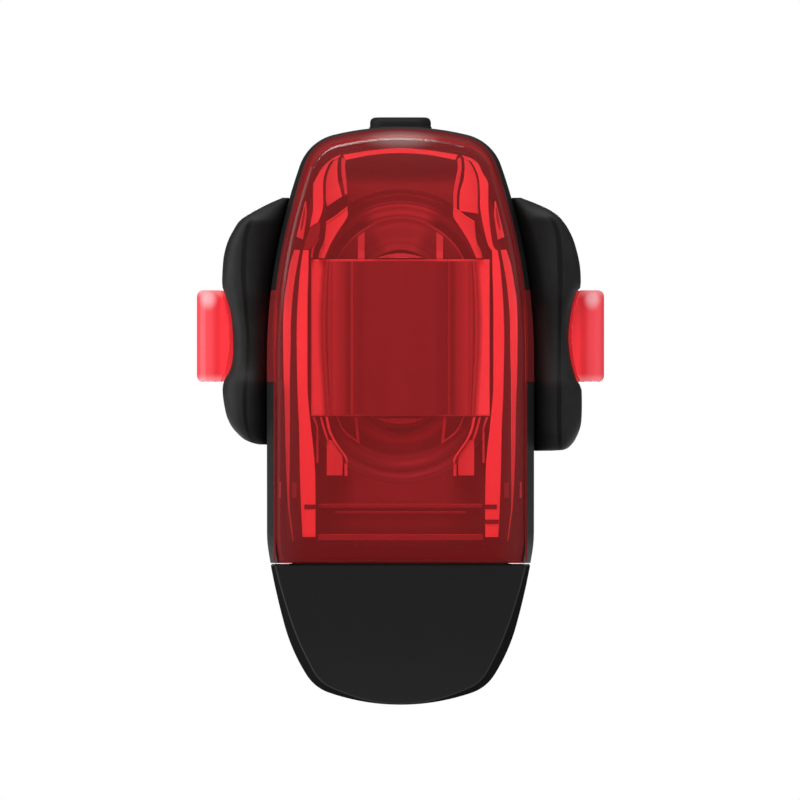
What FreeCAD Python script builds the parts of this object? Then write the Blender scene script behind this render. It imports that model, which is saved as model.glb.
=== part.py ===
import FreeCAD, Part
import math
import os

V = FreeCAD.Vector

# A strap-on bicycle tail light. Millimetres, +Z up, the lens faces -Y, +X is to the right from the front.
# The origin is on the seat post's axis, at the mid height of the two strap hooks.

# Seat post and its rubber saddle
POST_R = 13.6
POST_FIT = 0.1
PAD_MIN = 2.3
PAD_HALF_WIDTH = 12.0
PAD_TOP_Z = 15.0
PAD_BOTTOM_Z = -12.0
PAD_STUD_R = 2.0
PAD_STUD_DEPTH = 1.2
PAD_STUD_Z = 8.0
PAD_CORNER_R = 4.0

# Front outline of the body: a straight side, then tangent arcs, each a radius and the heading where it ends
HALF_WIDTH = 17.0
SIDE_TOP_Z = -3.0
SIDE_BOTTOM_Z = -25.0
CHEEK_R = 75.7
CHEEK_ANGLE = 19.1
SHOULDER_R = 6.1
SHOULDER_ANGLE = 76.3
KNEE_R = 15.8
KNEE_ANGLE = 9.3
SKIRT_R = 94.5
SKIRT_ANGLE = 15.1
FLANK_R = 23.3
FLANK_ANGLE = 32.3
TOE_R = 5.4
TOE_ANGLE = 71.3

# Gentle curve of the body's front, the bevel round it and the rounding of the back
FRONT_CURVE_R = 120.0
FRONT_PEAK_Z = -8.0
BEVEL_WIDTH = 1.05
BEVEL_DEPTH = 3.5
BACK_ROUND_R = 5.0

# Housing and lens
HOUSING_WALL = 2.2
BACK_WALL = 2.0
SPLIT_Z = -28.9
FLOOR_T = 2.0
LENS_FIT = 0.05
LENS_SIDE_WALL = 1.0
LENS_TOP_WALL = 1.6
LENS_BOTTOM_WALL = 2.5
LENS_FRONT_WALL = 1.8
LENS_PROUD = 0.5
LENS_EDGE_R = 0.9
SEAT_SETBACK = 0.5
GASKET_T = 0.4
GASKET_WIDTH = 0.6

# Hooks: a wing in a recess of the housing's side, a neck and a lip turned forwards
HOOK_HALF_HEIGHT = 5.85
WING_T = 1.3
HOOK_SETBACK = 5.0
NECK_LENGTH = 6.0
LIP_LENGTH = 6.0
LIP_OUTER_X = 26.0
LIP_EDGE_R = 0.8
LIP_TIP_R = 1.6
HOOK_HEEL_R = 2.4
LIP_BULGE_R = 16.6
FIT = 0.3

# Rubber strap
STRAP_T = 3.5
STRAP_GAP = 0.3
EAR_INNER_X = 13.6
EAR_OUTER_X = 22.8
EAR_WAIST_X = 21.6
EAR_BAR = 10.0
EAR_HEEL = 2.0
EAR_TOP_Z = 17.7
EAR_BOTTOM_Z = -14.6
EAR_FRONT_ROUND = 3.0
EAR_HEEL_ROUND = 25.0
EAR_CORNER_R = 5.0
EAR_TAPER_R = 30.0
EAR_TAPER_LENGTH = 22.0
EAR_TAPER_END = 3.0
EAR_CROWN_X = 17.2
EAR_CROWN_Z = 17.4
EAR_SHOULDER_X = 21.6
EAR_SHOULDER_Z = 13.9
EAR_SIDE_TOP_Z = 7.5
EAR_SIDE_BOTTOM_Z = -8.5
EAR_HIP_X = 22.4
EAR_HIP_Z = -13.0
EAR_FOOT_X = 20.0
EAR_CROWN_R = 5.0
EAR_SHOULDER_R = 3.5
EAR_SIDE_R = 20.0
EAR_HIP_R = 2.0
EAR_FOOT_R = 3.0
BAND_TOP_Z = 12.0
BAND_BOTTOM_Z = -8.0

# Power button in the crown, its bezel and the switch below
BUTTON_WIDTH = 8.0
BUTTON_LENGTH = 8.4
BUTTON_CORNER_R = 1.8
BUTTON_TOP_Z = 28.0
BUTTON_EDGE_BEVEL = 0.5
BUTTON_TRAVEL = 0.6
BUTTON_FLANGE = 1.0
BUTTON_FLANGE_T = 0.7
BUTTON_STEM_R = 1.5
BUTTON_STEM_L = 0.6
BEZEL_RIM = 2.3
BEZEL_T = 2.2
SWITCH_WIDTH = 6.0
SWITCH_HEIGHT = 3.5
SWITCH_DEPTH = 3.3
PLUNGER_R = 0.9
PLUNGER_L = 0.6
SWITCH_GAP = 0.15

# Layers behind the lens, from the housing's back wall forwards
TAPE_T = 0.5
CELL_T = 6.0
CELL_WIDTH = 20.0
CELL_TOP_Z = 16.0
CELL_BOTTOM_Z = -20.0
CELL_EDGE_R = 1.0
COMPONENT_SPACE = 2.8
BOARD_T = 1.2
BOARD_SIDE_GAP = 2.4
BOARD_BOTTOM_Z = -26.0
STACK_GAP = 0.1

# Reflector: a stepped bowl shaped like a racetrack
BOWL_SIDE_INSET = 4.4
BOWL_CENTRE_Z = 6.0
BOWL_DEPTH = 5.4
BOWL_RIM = 1.2
BOWL_STEPS = 5
BOWL_STEP_IN = 1.15
BOWL_FLOOR_T = 1.0
LED_SIZE = 3.5
LED_HEIGHT = 0.9
LED_DOME_R = 1.3
LED_DOME_T = 0.5
LED_PITCH = 7.0
LED_WINDOW_GAP = 0.4

# Clear light guide: a web with an arch, side ribs, feet and a sill, and the fluted lens block in its middle
WEB_T = 0.8
GUIDE_CLEAR = 0.4
ARCH_T = 0.7
ARCH_HALF_WIDTH = 7.3
SILL_Z = -26.0
SILL_T = 0.8
SILL_HALF_WIDTH = 10.5
FOOT_RISE = 2.5
BLOCK_SIDE_INSET = 5.6
BLOCK_TOP_Z = 9.75
BLOCK_BOTTOM_Z = -10.2
BLOCK_DEPTH = 2.4
BLOCK_ROOM = 2.3
BLOCK_FLUTES = 4
BLOCK_FLAT_HALF = 5.9

# Outlines of the guide's ribs, each corner as its distance in from the body's side, its height and its radius
GUIDE_BAR = ((4.5, 23.0, 0), (2.9, 21.0, 1.5), (2.6, 19.2, 1.0), (3.4, 16.2, 2.0), (3.6, 10.9, 4.0),
             (3.6, 5.2, 8.0), (3.8, -1.0, 8.0), (4.6, -25.0, 0), (6.2, -25.0, 0), (6.0, 10.1, 0),
             (6.9, 14.1, 2.0), (7.5, 16.9, 0.5), (6.7, 18.0, 1.0), (5.6, 20.5, 2.0), (5.2, 22.2, 0))
GUIDE_FIN = ((1.9, 17.2, 0), (1.9, 8.0, 0), (1.9, -2.0, 0), (1.9, -26.0, 0), (3.5, -26.0, 0),
             (3.1, -12.0, 8.0), (3.0, -2.0, 8.0), (3.0, 8.0, 8.0), (2.9, 12.5, 4.0))
GUIDE_FOOT = ((7.6, -13.5, 0), (9.6, -13.5, 0), (9.6, -17.8, 0), (7.6, -17.8, 0))

# Plug, its seal, and the cap that covers them
CAP_GAP = 0.3
CAP_WALL = 2.3
CAP_FIT = 0.4
NECK_DROP = 3.0
RING_Z = -30.9
RING_T = 0.8
RING_CLEAR = 0.15
RING_SEAT = 0.5
PLUG_WIDTH = 12.0
PLUG_T = 4.5
PLUG_SHEET = 0.3
PLUG_END_Z = -43.6
PLUG_TOP_Z = -22.5
PLUG_FIT = 0.1
TONGUE_WIDTH = 11.0
TONGUE_T = 1.85
TONGUE_END_GAP = 0.8
CONTACT_WIDTH = 1.0
CONTACT_T = 0.15
CONTACT_PITCHES = (-3.5, -1.0, 1.0, 3.5)
CONTACT_LENGTH = 7.0
PLUG_SEAL_RIM = 1.6
PLUG_SEAL_T = 0.8

# Screws that hold the board to bosses on the back wall
SCREW_TOP_INSET = 5.4
SCREW_TOP_Z = 18.4
SCREW_LOW_INSET = 7.0
SCREW_LOW_Z = -23.4
BOSS_R = 1.75
SCREW_R = 0.7
SCREW_HEAD_R = 1.4
SCREW_HEAD_T = 0.8
SCREW_LENGTH = 6.0
SCREW_FIT = 0.05
SCREW_SLOT = 0.4

# Chips on the back of the board, each as x, z, width, height and thickness, and the cell's flat tabs
BACK_CHIPS = ((3.6, 10.5, 4.0, 4.0, 1.2), (-4.5, 5.5, 5.0, 6.0, 1.6), (4.5, 2.0, 2.4, 1.4, 1.0),
              (4.5, -2.0, 2.4, 1.4, 1.0), (-4.0, -5.0, 3.2, 2.6, 1.9), (3.5, -9.0, 4.8, 4.8, 2.0))
TAB_WIDTH = 1.2
TAB_T = 0.2
TAB_X = (-4.4, -6.0)
TAB_RISE = 1.4
TAB_BEND_R = 0.6

SADDLE_R = POST_R + POST_FIT
BACK_Y = -(SADDLE_R + PAD_MIN)
INNER_BACK_Y = BACK_Y - BACK_WALL
CELL_BACK_Y = INNER_BACK_Y - TAPE_T
CELL_FRONT_Y = CELL_BACK_Y - CELL_T
BOARD_BACK_Y = CELL_FRONT_Y - COMPONENT_SPACE
BOARD_FRONT_Y = BOARD_BACK_Y - BOARD_T
BOWL_BACK_Y = BOARD_FRONT_Y - STACK_GAP
BOWL_FRONT_Y = BOWL_BACK_Y - BOWL_DEPTH
WEB_BACK_Y = BOWL_FRONT_Y - STACK_GAP
WEB_FRONT_Y = WEB_BACK_Y - WEB_T
BLOCK_BACK_Y = WEB_FRONT_Y - STACK_GAP
BLOCK_FRONT_Y = BLOCK_BACK_Y - BLOCK_DEPTH
FRONT_Y = BLOCK_FRONT_Y - BLOCK_ROOM - LENS_FRONT_WALL + LENS_PROUD
LENS_SEAT_Y = BOWL_FRONT_Y + SEAT_SETBACK
LENS_BACK_Y = LENS_SEAT_Y - GASKET_T
LENS_INSET = BEVEL_WIDTH + LENS_FIT
LENS_INNER_INSET = LENS_INSET + LENS_SIDE_WALL
NECK_INSET = CAP_WALL + CAP_FIT
NECK_BOTTOM_Z = SPLIT_Z - NECK_DROP
CAP_TOP_Z = SPLIT_Z - CAP_GAP
PLUG_Y = (BOARD_BACK_Y + BOARD_FRONT_Y) / 2
BUTTON_Y = BOARD_BACK_Y + SWITCH_DEPTH / 2
BOARD_HALF_WIDTH = HALF_WIDTH - HOUSING_WALL - BOARD_SIDE_GAP
BOWL_R = HALF_WIDTH - BOWL_SIDE_INSET
BLOCK_HALF_WIDTH = HALF_WIDTH - BLOCK_SIDE_INSET
HOOK_BACK_Y = BACK_Y - HOOK_SETBACK
NECK_FRONT_Y = HOOK_BACK_Y - NECK_LENGTH
LIP_FRONT_Y = NECK_FRONT_Y - LIP_LENGTH
EAR_FRONT_Y = NECK_FRONT_Y - EAR_BAR
EAR_BACK_Y = HOOK_BACK_Y + EAR_HEEL
BAND_FRONT_Y = -EAR_TAPER_END
EAR_TAPER_Y = BAND_FRONT_Y - EAR_TAPER_LENGTH
HINGE_X = 0.0
HINGE_Y = SADDLE_R + STRAP_T / 2
LED_HEIGHTS = (-LED_PITCH, 0.0, LED_PITCH)
FAR = 200.0


def box(x0, x1, y0, y1, z0, z1):
    return Part.makeBox(x1 - x0, y1 - y0, z1 - z0, V(x0, y0, z0))


def mirrored(shape):
    return shape.mirror(V(0, 0, 0), V(1, 0, 0))


def fused(shapes):
    return shapes[0].multiFuse(shapes[1:]).removeSplitter()


def one_solid(shape):
    solids = shape.Solids
    assert len(solids) == 1, len(solids)
    return solids[0]


def below(z):
    return box(-FAR, FAR, -FAR, FAR, -FAR, z)


def above(z):
    return box(-FAR, FAR, -FAR, FAR, z, FAR)


def rounded_wire(corners, place):
    """A closed wire through corners, each x, y and its arc's radius; place gives the point in space."""
    count = len(corners)
    ends = []
    edges = []
    for i in range(count):
        a, b, c = corners[i - 1], corners[i], corners[(i + 1) % count]
        to_a = V(a[0] - b[0], a[1] - b[1], 0)
        to_c = V(c[0] - b[0], c[1] - b[1], 0)
        corner = V(b[0], b[1], 0)
        if b[2] == 0:
            ends.append((corner, corner))
            continue
        half = to_a.getAngle(to_c) / 2
        reach = b[2] / math.tan(half)
        to_a.normalize()
        to_c.normalize()
        start, end = corner + to_a * reach, corner + to_c * reach
        middle = to_a + to_c
        middle.normalize()
        mid = corner + middle * (b[2] / math.sin(half) - b[2])
        edges.append(Part.Arc(place(start), place(mid), place(end)).toShape())
        ends.append((start, end))
    for i in range(count):
        start, end = ends[i - 1][1], ends[i][0]
        if start.distanceToPoint(end) > 1e-6:
            edges.append(Part.LineSegment(place(start), place(end)).toShape())
    return Part.Wire(Part.__sortEdges__(edges))


def plan_prism(corners, z0, z1):
    wire = rounded_wire(corners, lambda p: V(p.x, p.y, z0))
    return Part.Face(wire).extrude(V(0, 0, z1 - z0))


def front_prism(corners, y0, y1):
    wire = rounded_wire(corners, lambda p: V(p.x, y0, p.y))
    return Part.Face(wire).extrude(V(0, y1 - y0, 0))


def side_prism(corners, x0, x1):
    wire = rounded_wire(corners, lambda p: V(x0, p.x, p.y))
    return Part.Face(wire).extrude(V(x1 - x0, 0, 0))


def rectangle(x0, x1, y0, y1, r):
    return ((x0, y0, r), (x1, y0, r), (x1, y1, r), (x0, y1, r))


# The body's front outline is a chain of tangent arcs, so moving it inwards only shortens their radii

UPPER_ARCS = ((CHEEK_R, CHEEK_ANGLE), (SHOULDER_R, SHOULDER_ANGLE))
LOWER_ARCS = ((KNEE_R, KNEE_ANGLE), (SKIRT_R, SKIRT_ANGLE), (FLANK_R, FLANK_ANGLE), (TOE_R, TOE_ANGLE))


def arc_chain(start_z, upwards, arcs):
    """Centres, radii and end angles of the arcs from the straight side round to the middle line."""
    x, z, angle = HALF_WIDTH, start_z, 0.0
    chain = []
    for radius, end in arcs:
        end = math.radians(end)
        cx, cz = x - radius * math.cos(angle), z - upwards * radius * math.sin(angle)
        chain.append((cx, cz, radius, angle, end))
        x, z, angle = cx + radius * math.cos(end), cz + upwards * radius * math.sin(end), end
    radius = x / math.cos(angle)
    chain.append((0.0, z - upwards * radius * math.sin(angle), radius, angle, math.pi - angle))
    return chain


UPPER_CHAIN = arc_chain(SIDE_TOP_Z, 1, UPPER_ARCS)
LOWER_CHAIN = arc_chain(SIDE_BOTTOM_Z, -1, LOWER_ARCS)
CROWN_Z = UPPER_CHAIN[-1][1] + UPPER_CHAIN[-1][2]


def half_width_at(z):
    """Half the body's width on its straight side, or on the cheek's arc above that."""
    rise = max(z - SIDE_TOP_Z, 0.0)
    return HALF_WIDTH - CHEEK_R + math.sqrt(CHEEK_R ** 2 - rise ** 2)


SCREW_PLACES = [(side * (half_width_at(z) - inset), z) for side in (-1, 1)
                for inset, z in ((SCREW_TOP_INSET, SCREW_TOP_Z), (SCREW_LOW_INSET, SCREW_LOW_Z))]


def outline_wire(inset, y):
    edges = []
    for upwards, chain in ((1, UPPER_CHAIN), (-1, LOWER_CHAIN)):
        for side in (1, -1):
            arcs = chain if side == 1 else chain[:-1]
            for cx, cz, radius, start, end in arcs:
                r = radius - inset
                points = [V(side * (cx + r * math.cos(a)), y, cz + upwards * r * math.sin(a))
                          for a in (start, (start + end) / 2, end)]
                edges.append(Part.Arc(*points).toShape())
    for side in (1, -1):
        x = side * (HALF_WIDTH - inset)
        edges.append(Part.LineSegment(V(x, y, SIDE_BOTTOM_Z), V(x, y, SIDE_TOP_Z)).toShape())
    return Part.Wire(Part.__sortEdges__(edges))


def outline_prism(inset, y0, y1):
    return Part.Face(outline_wire(inset, y0)).extrude(V(0, y1 - y0, 0))


def behind_front(offset):
    """All that lies behind the curved front surface, moved forwards by offset."""
    axis_y = FRONT_Y + FRONT_CURVE_R
    return Part.makeCylinder(FRONT_CURVE_R + offset, 2 * FAR, V(-FAR, axis_y, FRONT_PEAK_Z), V(1, 0, 0))


def edges_at_y(shape, y):
    return [e for e in shape.Edges if abs(e.BoundBox.YMin - y) < 1e-6 and abs(e.BoundBox.YMax - y) < 1e-6]


def edges_on_front(shape, offset):
    axis_y = FRONT_Y + FRONT_CURVE_R
    found = []
    for edge in shape.Edges:
        reach = [math.hypot(p.y - axis_y, p.z - FRONT_PEAK_Z) for p in edge.discretize(5)]
        if all(abs(r - FRONT_CURVE_R - offset) < 1e-4 for r in reach):
            found.append(edge)
    return found


def body_core(inset):
    """The body's form moved inwards all round, with its back edges left square."""
    return one_solid(outline_prism(inset, BACK_Y - inset, FRONT_Y - FAR / 100).common(behind_front(-inset)))


def body_outside():
    form = body_core(0.0)
    form = form.makeFillet(BACK_ROUND_R, edges_at_y(form, BACK_Y))
    return form.makeChamfer(BEVEL_DEPTH, BEVEL_WIDTH, edges_on_front(form, 0.0))


OUTSIDE = body_outside()


def rear_housing():
    shell = OUTSIDE.common(above(SPLIT_Z))
    floor_z = SPLIT_Z + FLOOR_T
    recess = outline_prism(BEVEL_WIDTH, LENS_SEAT_Y, FRONT_Y - FAR / 100)
    cavity = outline_prism(HOUSING_WALL, INNER_BACK_Y, LENS_SEAT_Y - STACK_GAP)
    cavity = cavity.common(above(floor_z))
    shell = shell.cut(recess.fuse(cavity))
    neck = body_core(NECK_INSET).common(box(-FAR, FAR, -FAR, FAR, NECK_BOTTOM_Z, SPLIT_Z))
    groove_inside = body_core(NECK_INSET + RING_SEAT)
    groove_band = box(-FAR, FAR, -FAR, FAR, RING_Z - STACK_GAP, RING_Z + RING_T + STACK_GAP)
    neck = neck.cut(groove_band.cut(groove_inside))
    shell = shell.fuse(neck)
    cuts = [plug_prism(PLUG_FIT, NECK_BOTTOM_Z - 1, floor_z + 1), bezel_prism(LENS_FIT)]
    for side in (1, -1):
        low, high = sorted((side * (HALF_WIDTH - WING_T - LENS_FIT), side * FAR))
        half = HOOK_HALF_HEIGHT + LENS_FIT
        cuts.append(box(low, high, -FAR, HOOK_BACK_Y + LENS_FIT, -half, half))
    for z in (PAD_STUD_Z, -PAD_STUD_Z):
        cuts.append(stud(z, PAD_STUD_R + LENS_FIT, PAD_STUD_DEPTH + LENS_FIT))
    shell = shell.cut(cuts[0].multiFuse(cuts[1:]))
    for x, z in SCREW_PLACES:
        boss = cylinder_y(x, z, BOSS_R, INNER_BACK_Y + 1, BOARD_BACK_Y)
        shell = shell.fuse(boss)
    for x, z in SCREW_PLACES:
        shell = shell.cut(cylinder_y(x, z, SCREW_R, BOARD_BACK_Y + SCREW_LENGTH, BOARD_BACK_Y))
    return one_solid(shell.removeSplitter())


def cylinder_y(x, z, radius, y_back, y_front):
    return Part.makeCylinder(radius, y_back - y_front, V(x, y_front, z), V(0, 1, 0))


def stud(z, radius, depth):
    return cylinder_y(0, z, radius, BACK_Y, BACK_Y - depth)


def plug_prism(clear, z0, z1):
    x, y = PLUG_WIDTH / 2 + clear, PLUG_T / 2 + clear
    return box(-x, x, PLUG_Y - y, PLUG_Y + y, z0, z1)


def bezel_prism(clear):
    x = BUTTON_WIDTH / 2 + BEZEL_RIM + clear
    y = BUTTON_LENGTH / 2 + BEZEL_RIM / 2 + clear
    corners = rectangle(-x, x, BUTTON_Y - y, BUTTON_Y + y, BUTTON_CORNER_R)
    return plan_prism(corners, CROWN_Z - BEZEL_T - HOUSING_WALL, CROWN_Z + FAR)


def button_prism(grow, z0, z1):
    x, y = BUTTON_WIDTH / 2 + grow, BUTTON_LENGTH / 2 + grow
    corners = rectangle(-x, x, BUTTON_Y - y, BUTTON_Y + y, BUTTON_CORNER_R)
    return plan_prism(corners, z0, z1)


def lens_opening(inset, y_back):
    """What the lens's side walls enclose, moved inwards by inset, from the depth y_back forwards."""
    opening = outline_prism(LENS_INNER_INSET + inset, y_back, FRONT_Y - FAR / 100)
    lowered = opening.copy()
    lowered.translate(V(0, 0, LENS_SIDE_WALL - LENS_TOP_WALL))
    return opening.common(lowered).common(above(SPLIT_Z + LENS_BOTTOM_WALL + inset))


def lens_room(inset, y_back):
    """The opening closed by the inside of the lens's front wall, moved inwards too."""
    return lens_opening(inset, y_back).common(behind_front(LENS_PROUD - LENS_FRONT_WALL - inset))


def outer_lens():
    shell = outline_prism(LENS_INSET, LENS_BACK_Y, FRONT_Y - FAR / 100).common(behind_front(LENS_PROUD))
    shell = one_solid(shell.common(above(SPLIT_Z)))
    shell = shell.makeFillet(LENS_EDGE_R, edges_on_front(shell, LENS_PROUD))
    shell = shell.cut(lens_room(0, LENS_BACK_Y))
    for side in (1, -1):
        shell = shell.fuse(hook(side))
    return one_solid(shell.removeSplitter())


def hook(side):
    """The wing that lies in the housing's side, with its neck and forward lip, on the right or mirrored."""
    wing_x = HALF_WIDTH - WING_T
    half = HOOK_HALF_HEIGHT
    wing = box(wing_x, HALF_WIDTH + 1, -FAR, HOOK_BACK_Y, -half, half).common(OUTSIDE)
    outer, root_x = LIP_OUTER_X, wing_x + WING_T / 2
    plan = ((root_x, HOOK_BACK_Y, 0), (outer, HOOK_BACK_Y, HOOK_HEEL_R), (outer, LIP_FRONT_Y, LIP_TIP_R),
            (EAR_WAIST_X, LIP_FRONT_Y, 0), (EAR_WAIST_X, NECK_FRONT_Y, 0), (root_x, NECK_FRONT_Y, 0))
    face = rectangle(0, outer, -half, half, LIP_EDGE_R)
    arm = plan_prism(plan, -half, half).common(front_prism(face, -FAR, 0))
    bulge_x = EAR_WAIST_X + FIT + LIP_BULGE_R
    waist = box(EAR_WAIST_X - 1, outer + 1, LIP_FRONT_Y - 1, NECK_FRONT_Y, -half - 1, half + 1)
    waist = waist.cut(Part.makeCylinder(LIP_BULGE_R, FAR, V(bulge_x, -FAR, 0), V(0, 1, 0)))
    arm = arm.cut(waist)
    whole = wing.fuse(arm)
    return whole if side == 1 else mirrored(whole)


def lens_gasket():
    inset = LENS_INSET + (LENS_SIDE_WALL - GASKET_WIDTH) / 2
    z = SPLIT_Z + (LENS_SIDE_WALL - GASKET_WIDTH) / 2
    ring = outline_prism(inset, LENS_SEAT_Y, LENS_BACK_Y).common(above(z))
    hole = outline_prism(inset + GASKET_WIDTH, LENS_SEAT_Y, LENS_BACK_Y).common(above(z + GASKET_WIDTH))
    return one_solid(ring.cut(hole))


def guide_rib(corners, y_front):
    """A rib on the guide's web, on the right or mirrored, from corners set in from the body's side."""
    outline = [(half_width_at(z) - inset, z, r) for inset, z, r in corners]
    rib = front_prism(outline, WEB_FRONT_Y, y_front)
    return [rib, mirrored(rib)]


def light_guide():
    web = lens_opening(GUIDE_CLEAR, WEB_BACK_Y).common(box(-FAR, FAR, WEB_FRONT_Y, WEB_BACK_Y, -FAR, FAR))
    flat = BLOCK_FLAT_HALF
    web = web.cut(box(-flat, flat, -FAR, FAR, BLOCK_BOTTOM_Z, BLOCK_TOP_Z))
    ribs = guide_rib(GUIDE_BAR, FRONT_Y) + guide_rib(GUIDE_FIN, FRONT_Y)
    ribs += guide_rib(GUIDE_FOOT, WEB_FRONT_Y - FOOT_RISE)
    half = SILL_HALF_WIDTH
    ribs.append(box(-half, half, FRONT_Y, WEB_FRONT_Y, SILL_Z, SILL_Z + SILL_T))
    arch = lens_opening(GUIDE_CLEAR, WEB_FRONT_Y).cut(lens_opening(GUIDE_CLEAR + ARCH_T, WEB_FRONT_Y))
    ribs.append(arch.common(box(-ARCH_HALF_WIDTH, ARCH_HALF_WIDTH, -FAR, FAR, 0, FAR)))
    ribs = ribs[0].multiFuse(ribs[1:]).common(lens_room(GUIDE_CLEAR, WEB_FRONT_Y))
    beside = BLOCK_HALF_WIDTH + FIT
    ribs = ribs.cut(box(-beside, beside, -FAR, FAR, BLOCK_BOTTOM_Z - FIT, BLOCK_TOP_Z + FIT))
    return one_solid(fused([web, ribs]))


def lens_block():
    """A flat middle between two fields of upright half-round flutes."""
    flute = (BLOCK_HALF_WIDTH - BLOCK_FLAT_HALF) / BLOCK_FLUTES
    flute_y = BLOCK_FRONT_Y + flute / 2
    shapes = []
    for half, front in ((BLOCK_HALF_WIDTH, flute_y), (BLOCK_FLAT_HALF, BLOCK_FRONT_Y)):
        shapes.append(box(-half, half, front, BLOCK_BACK_Y, BLOCK_BOTTOM_Z, BLOCK_TOP_Z))
    for i in range(BLOCK_FLUTES):
        for side in (1, -1):
            x = side * (BLOCK_FLAT_HALF + flute * (i + 0.5))
            base = V(x, flute_y, BLOCK_BOTTOM_Z)
            shapes.append(Part.makeCylinder(flute / 2, BLOCK_TOP_Z - BLOCK_BOTTOM_Z, base))
    return one_solid(fused(shapes))


def racetrack(radius, y0, y1):
    """A prism with two straight sides and a half circle at each end."""
    z = BOWL_CENTRE_Z
    edges = []
    for side in (1, -1):
        first, top, last = [V(side * radius * across, y0, side * (z + radius * up))
                            for across, up in ((1, 0), (0, 1), (-1, 0))]
        edges.append(Part.Arc(first, top, last).toShape())
        edges.append(Part.LineSegment(V(side * radius, y0, -z), V(side * radius, y0, z)).toShape())
    return Part.Face(Part.Wire(Part.__sortEdges__(edges))).extrude(V(0, y1 - y0, 0))


def reflector():
    bowl = racetrack(BOWL_R, BOWL_BACK_Y, BOWL_FRONT_Y)
    step_y = (BOWL_DEPTH - BOWL_FLOOR_T) / BOWL_STEPS
    pockets = []
    for i in range(BOWL_STEPS):
        radius = BOWL_R - BOWL_RIM - i * BOWL_STEP_IN
        pockets.append(racetrack(radius, BOWL_FRONT_Y + (i + 1) * step_y, BOWL_FRONT_Y - 1))
    for z in LED_HEIGHTS:
        half = LED_SIZE / 2 + LED_WINDOW_GAP
        pockets.append(box(-half, half, BOWL_FRONT_Y, BOWL_BACK_Y + 1, z - half, z + half))
    return one_solid(bowl.cut(pockets[0].multiFuse(pockets[1:])).removeSplitter())


def led_emitters():
    leds = []
    top_y = BOARD_FRONT_Y - LED_HEIGHT
    half = LED_SIZE / 2
    for z in LED_HEIGHTS:
        base = box(-half, half, top_y, BOARD_FRONT_Y, z - half, z + half)
        leds.append(one_solid(base.fuse(cylinder_y(0, z, LED_DOME_R, top_y, top_y - LED_DOME_T))))
    return Part.makeCompound(leds)


def switch_top_z():
    flange_bottom = CROWN_Z - BEZEL_T - FIT - BUTTON_FLANGE_T
    return flange_bottom - BUTTON_STEM_L - BUTTON_TRAVEL - SWITCH_GAP - PLUNGER_L


def circuit_board():
    top = switch_top_z()
    board = outline_prism(HOUSING_WALL + FIT, BOARD_BACK_Y, BOARD_FRONT_Y)
    board = board.common(box(-BOARD_HALF_WIDTH, BOARD_HALF_WIDTH, -FAR, FAR, BOARD_BOTTOM_Z, top))
    board = board.cut(plug_prism(PLUG_FIT, BOARD_BOTTOM_Z - 1, PLUG_TOP_Z + PLUG_FIT))
    for x, z in SCREW_PLACES:
        board = board.cut(cylinder_y(x, z, SCREW_R + SCREW_FIT, BOARD_BACK_Y + 1, BOARD_FRONT_Y - 1))
    return one_solid(board)


def board_screws():
    screws = []
    for x, z in SCREW_PLACES:
        shank = cylinder_y(x, z, SCREW_R - SCREW_FIT, BOARD_FRONT_Y + SCREW_LENGTH, BOARD_FRONT_Y)
        head = cylinder_y(x, z, SCREW_HEAD_R, BOARD_FRONT_Y, BOARD_FRONT_Y - SCREW_HEAD_T)
        slot = box(x - SCREW_HEAD_R, x + SCREW_HEAD_R, BOARD_FRONT_Y - SCREW_HEAD_T - 1,
                   BOARD_FRONT_Y - SCREW_HEAD_T / 2, z - SCREW_SLOT / 2, z + SCREW_SLOT / 2)
        screws.append(one_solid(shank.fuse(head).cut(slot).removeSplitter()))
    return Part.makeCompound(screws)


def driver_components():
    chips = []
    for x, z, width, height, thick in BACK_CHIPS:
        chips.append(box(x - width / 2, x + width / 2, BOARD_BACK_Y, BOARD_BACK_Y + thick,
                         z - height / 2, z + height / 2))
    return Part.makeCompound(chips)


def tact_switch():
    top = switch_top_z()
    half = SWITCH_WIDTH / 2
    body = box(-half, half, BOARD_BACK_Y, BOARD_BACK_Y + SWITCH_DEPTH, top - SWITCH_HEIGHT, top)
    plunger = Part.makeCylinder(PLUNGER_R, PLUNGER_L, V(0, BUTTON_Y, top))
    return one_solid(body.fuse(plunger).removeSplitter())


def battery_cell():
    half = CELL_WIDTH / 2
    cell = box(-half, half, CELL_FRONT_Y, CELL_BACK_Y, CELL_BOTTOM_Z, CELL_TOP_Z)
    upright = [e for e in cell.Edges if e.BoundBox.ZLength > CELL_TOP_Z - CELL_BOTTOM_Z - 1]
    return cell.makeFillet(CELL_EDGE_R, upright)


def battery_tape():
    half = CELL_WIDTH / 2 - CELL_EDGE_R
    return box(-half, half, CELL_BACK_Y, INNER_BACK_Y, CELL_BOTTOM_Z + CELL_EDGE_R, CELL_TOP_Z - CELL_EDGE_R)


def battery_tabs():
    """Flat tabs that rise from the cell's top, bend forwards and meet the board's back."""
    cell_y = (CELL_FRONT_Y + CELL_BACK_Y) / 2
    top = CELL_TOP_Z + TAB_RISE
    side = ((cell_y, CELL_TOP_Z, 0), (cell_y, top, TAB_BEND_R), (BOARD_BACK_Y, top, 0),
            (BOARD_BACK_Y, top - TAB_T, 0), (cell_y - TAB_T, top - TAB_T, TAB_BEND_R - TAB_T),
            (cell_y - TAB_T, CELL_TOP_Z, 0))
    return Part.makeCompound([side_prism(side, x - TAB_WIDTH / 2, x + TAB_WIDTH / 2) for x in TAB_X])


def plug_shell():
    shell = plug_prism(0, PLUG_END_Z, PLUG_TOP_Z)
    return one_solid(shell.cut(plug_prism(-PLUG_SHEET, PLUG_END_Z - 1, PLUG_TOP_Z - PLUG_SHEET)))


def tongue_front_y():
    return PLUG_Y - PLUG_T / 2 + PLUG_SHEET


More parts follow.
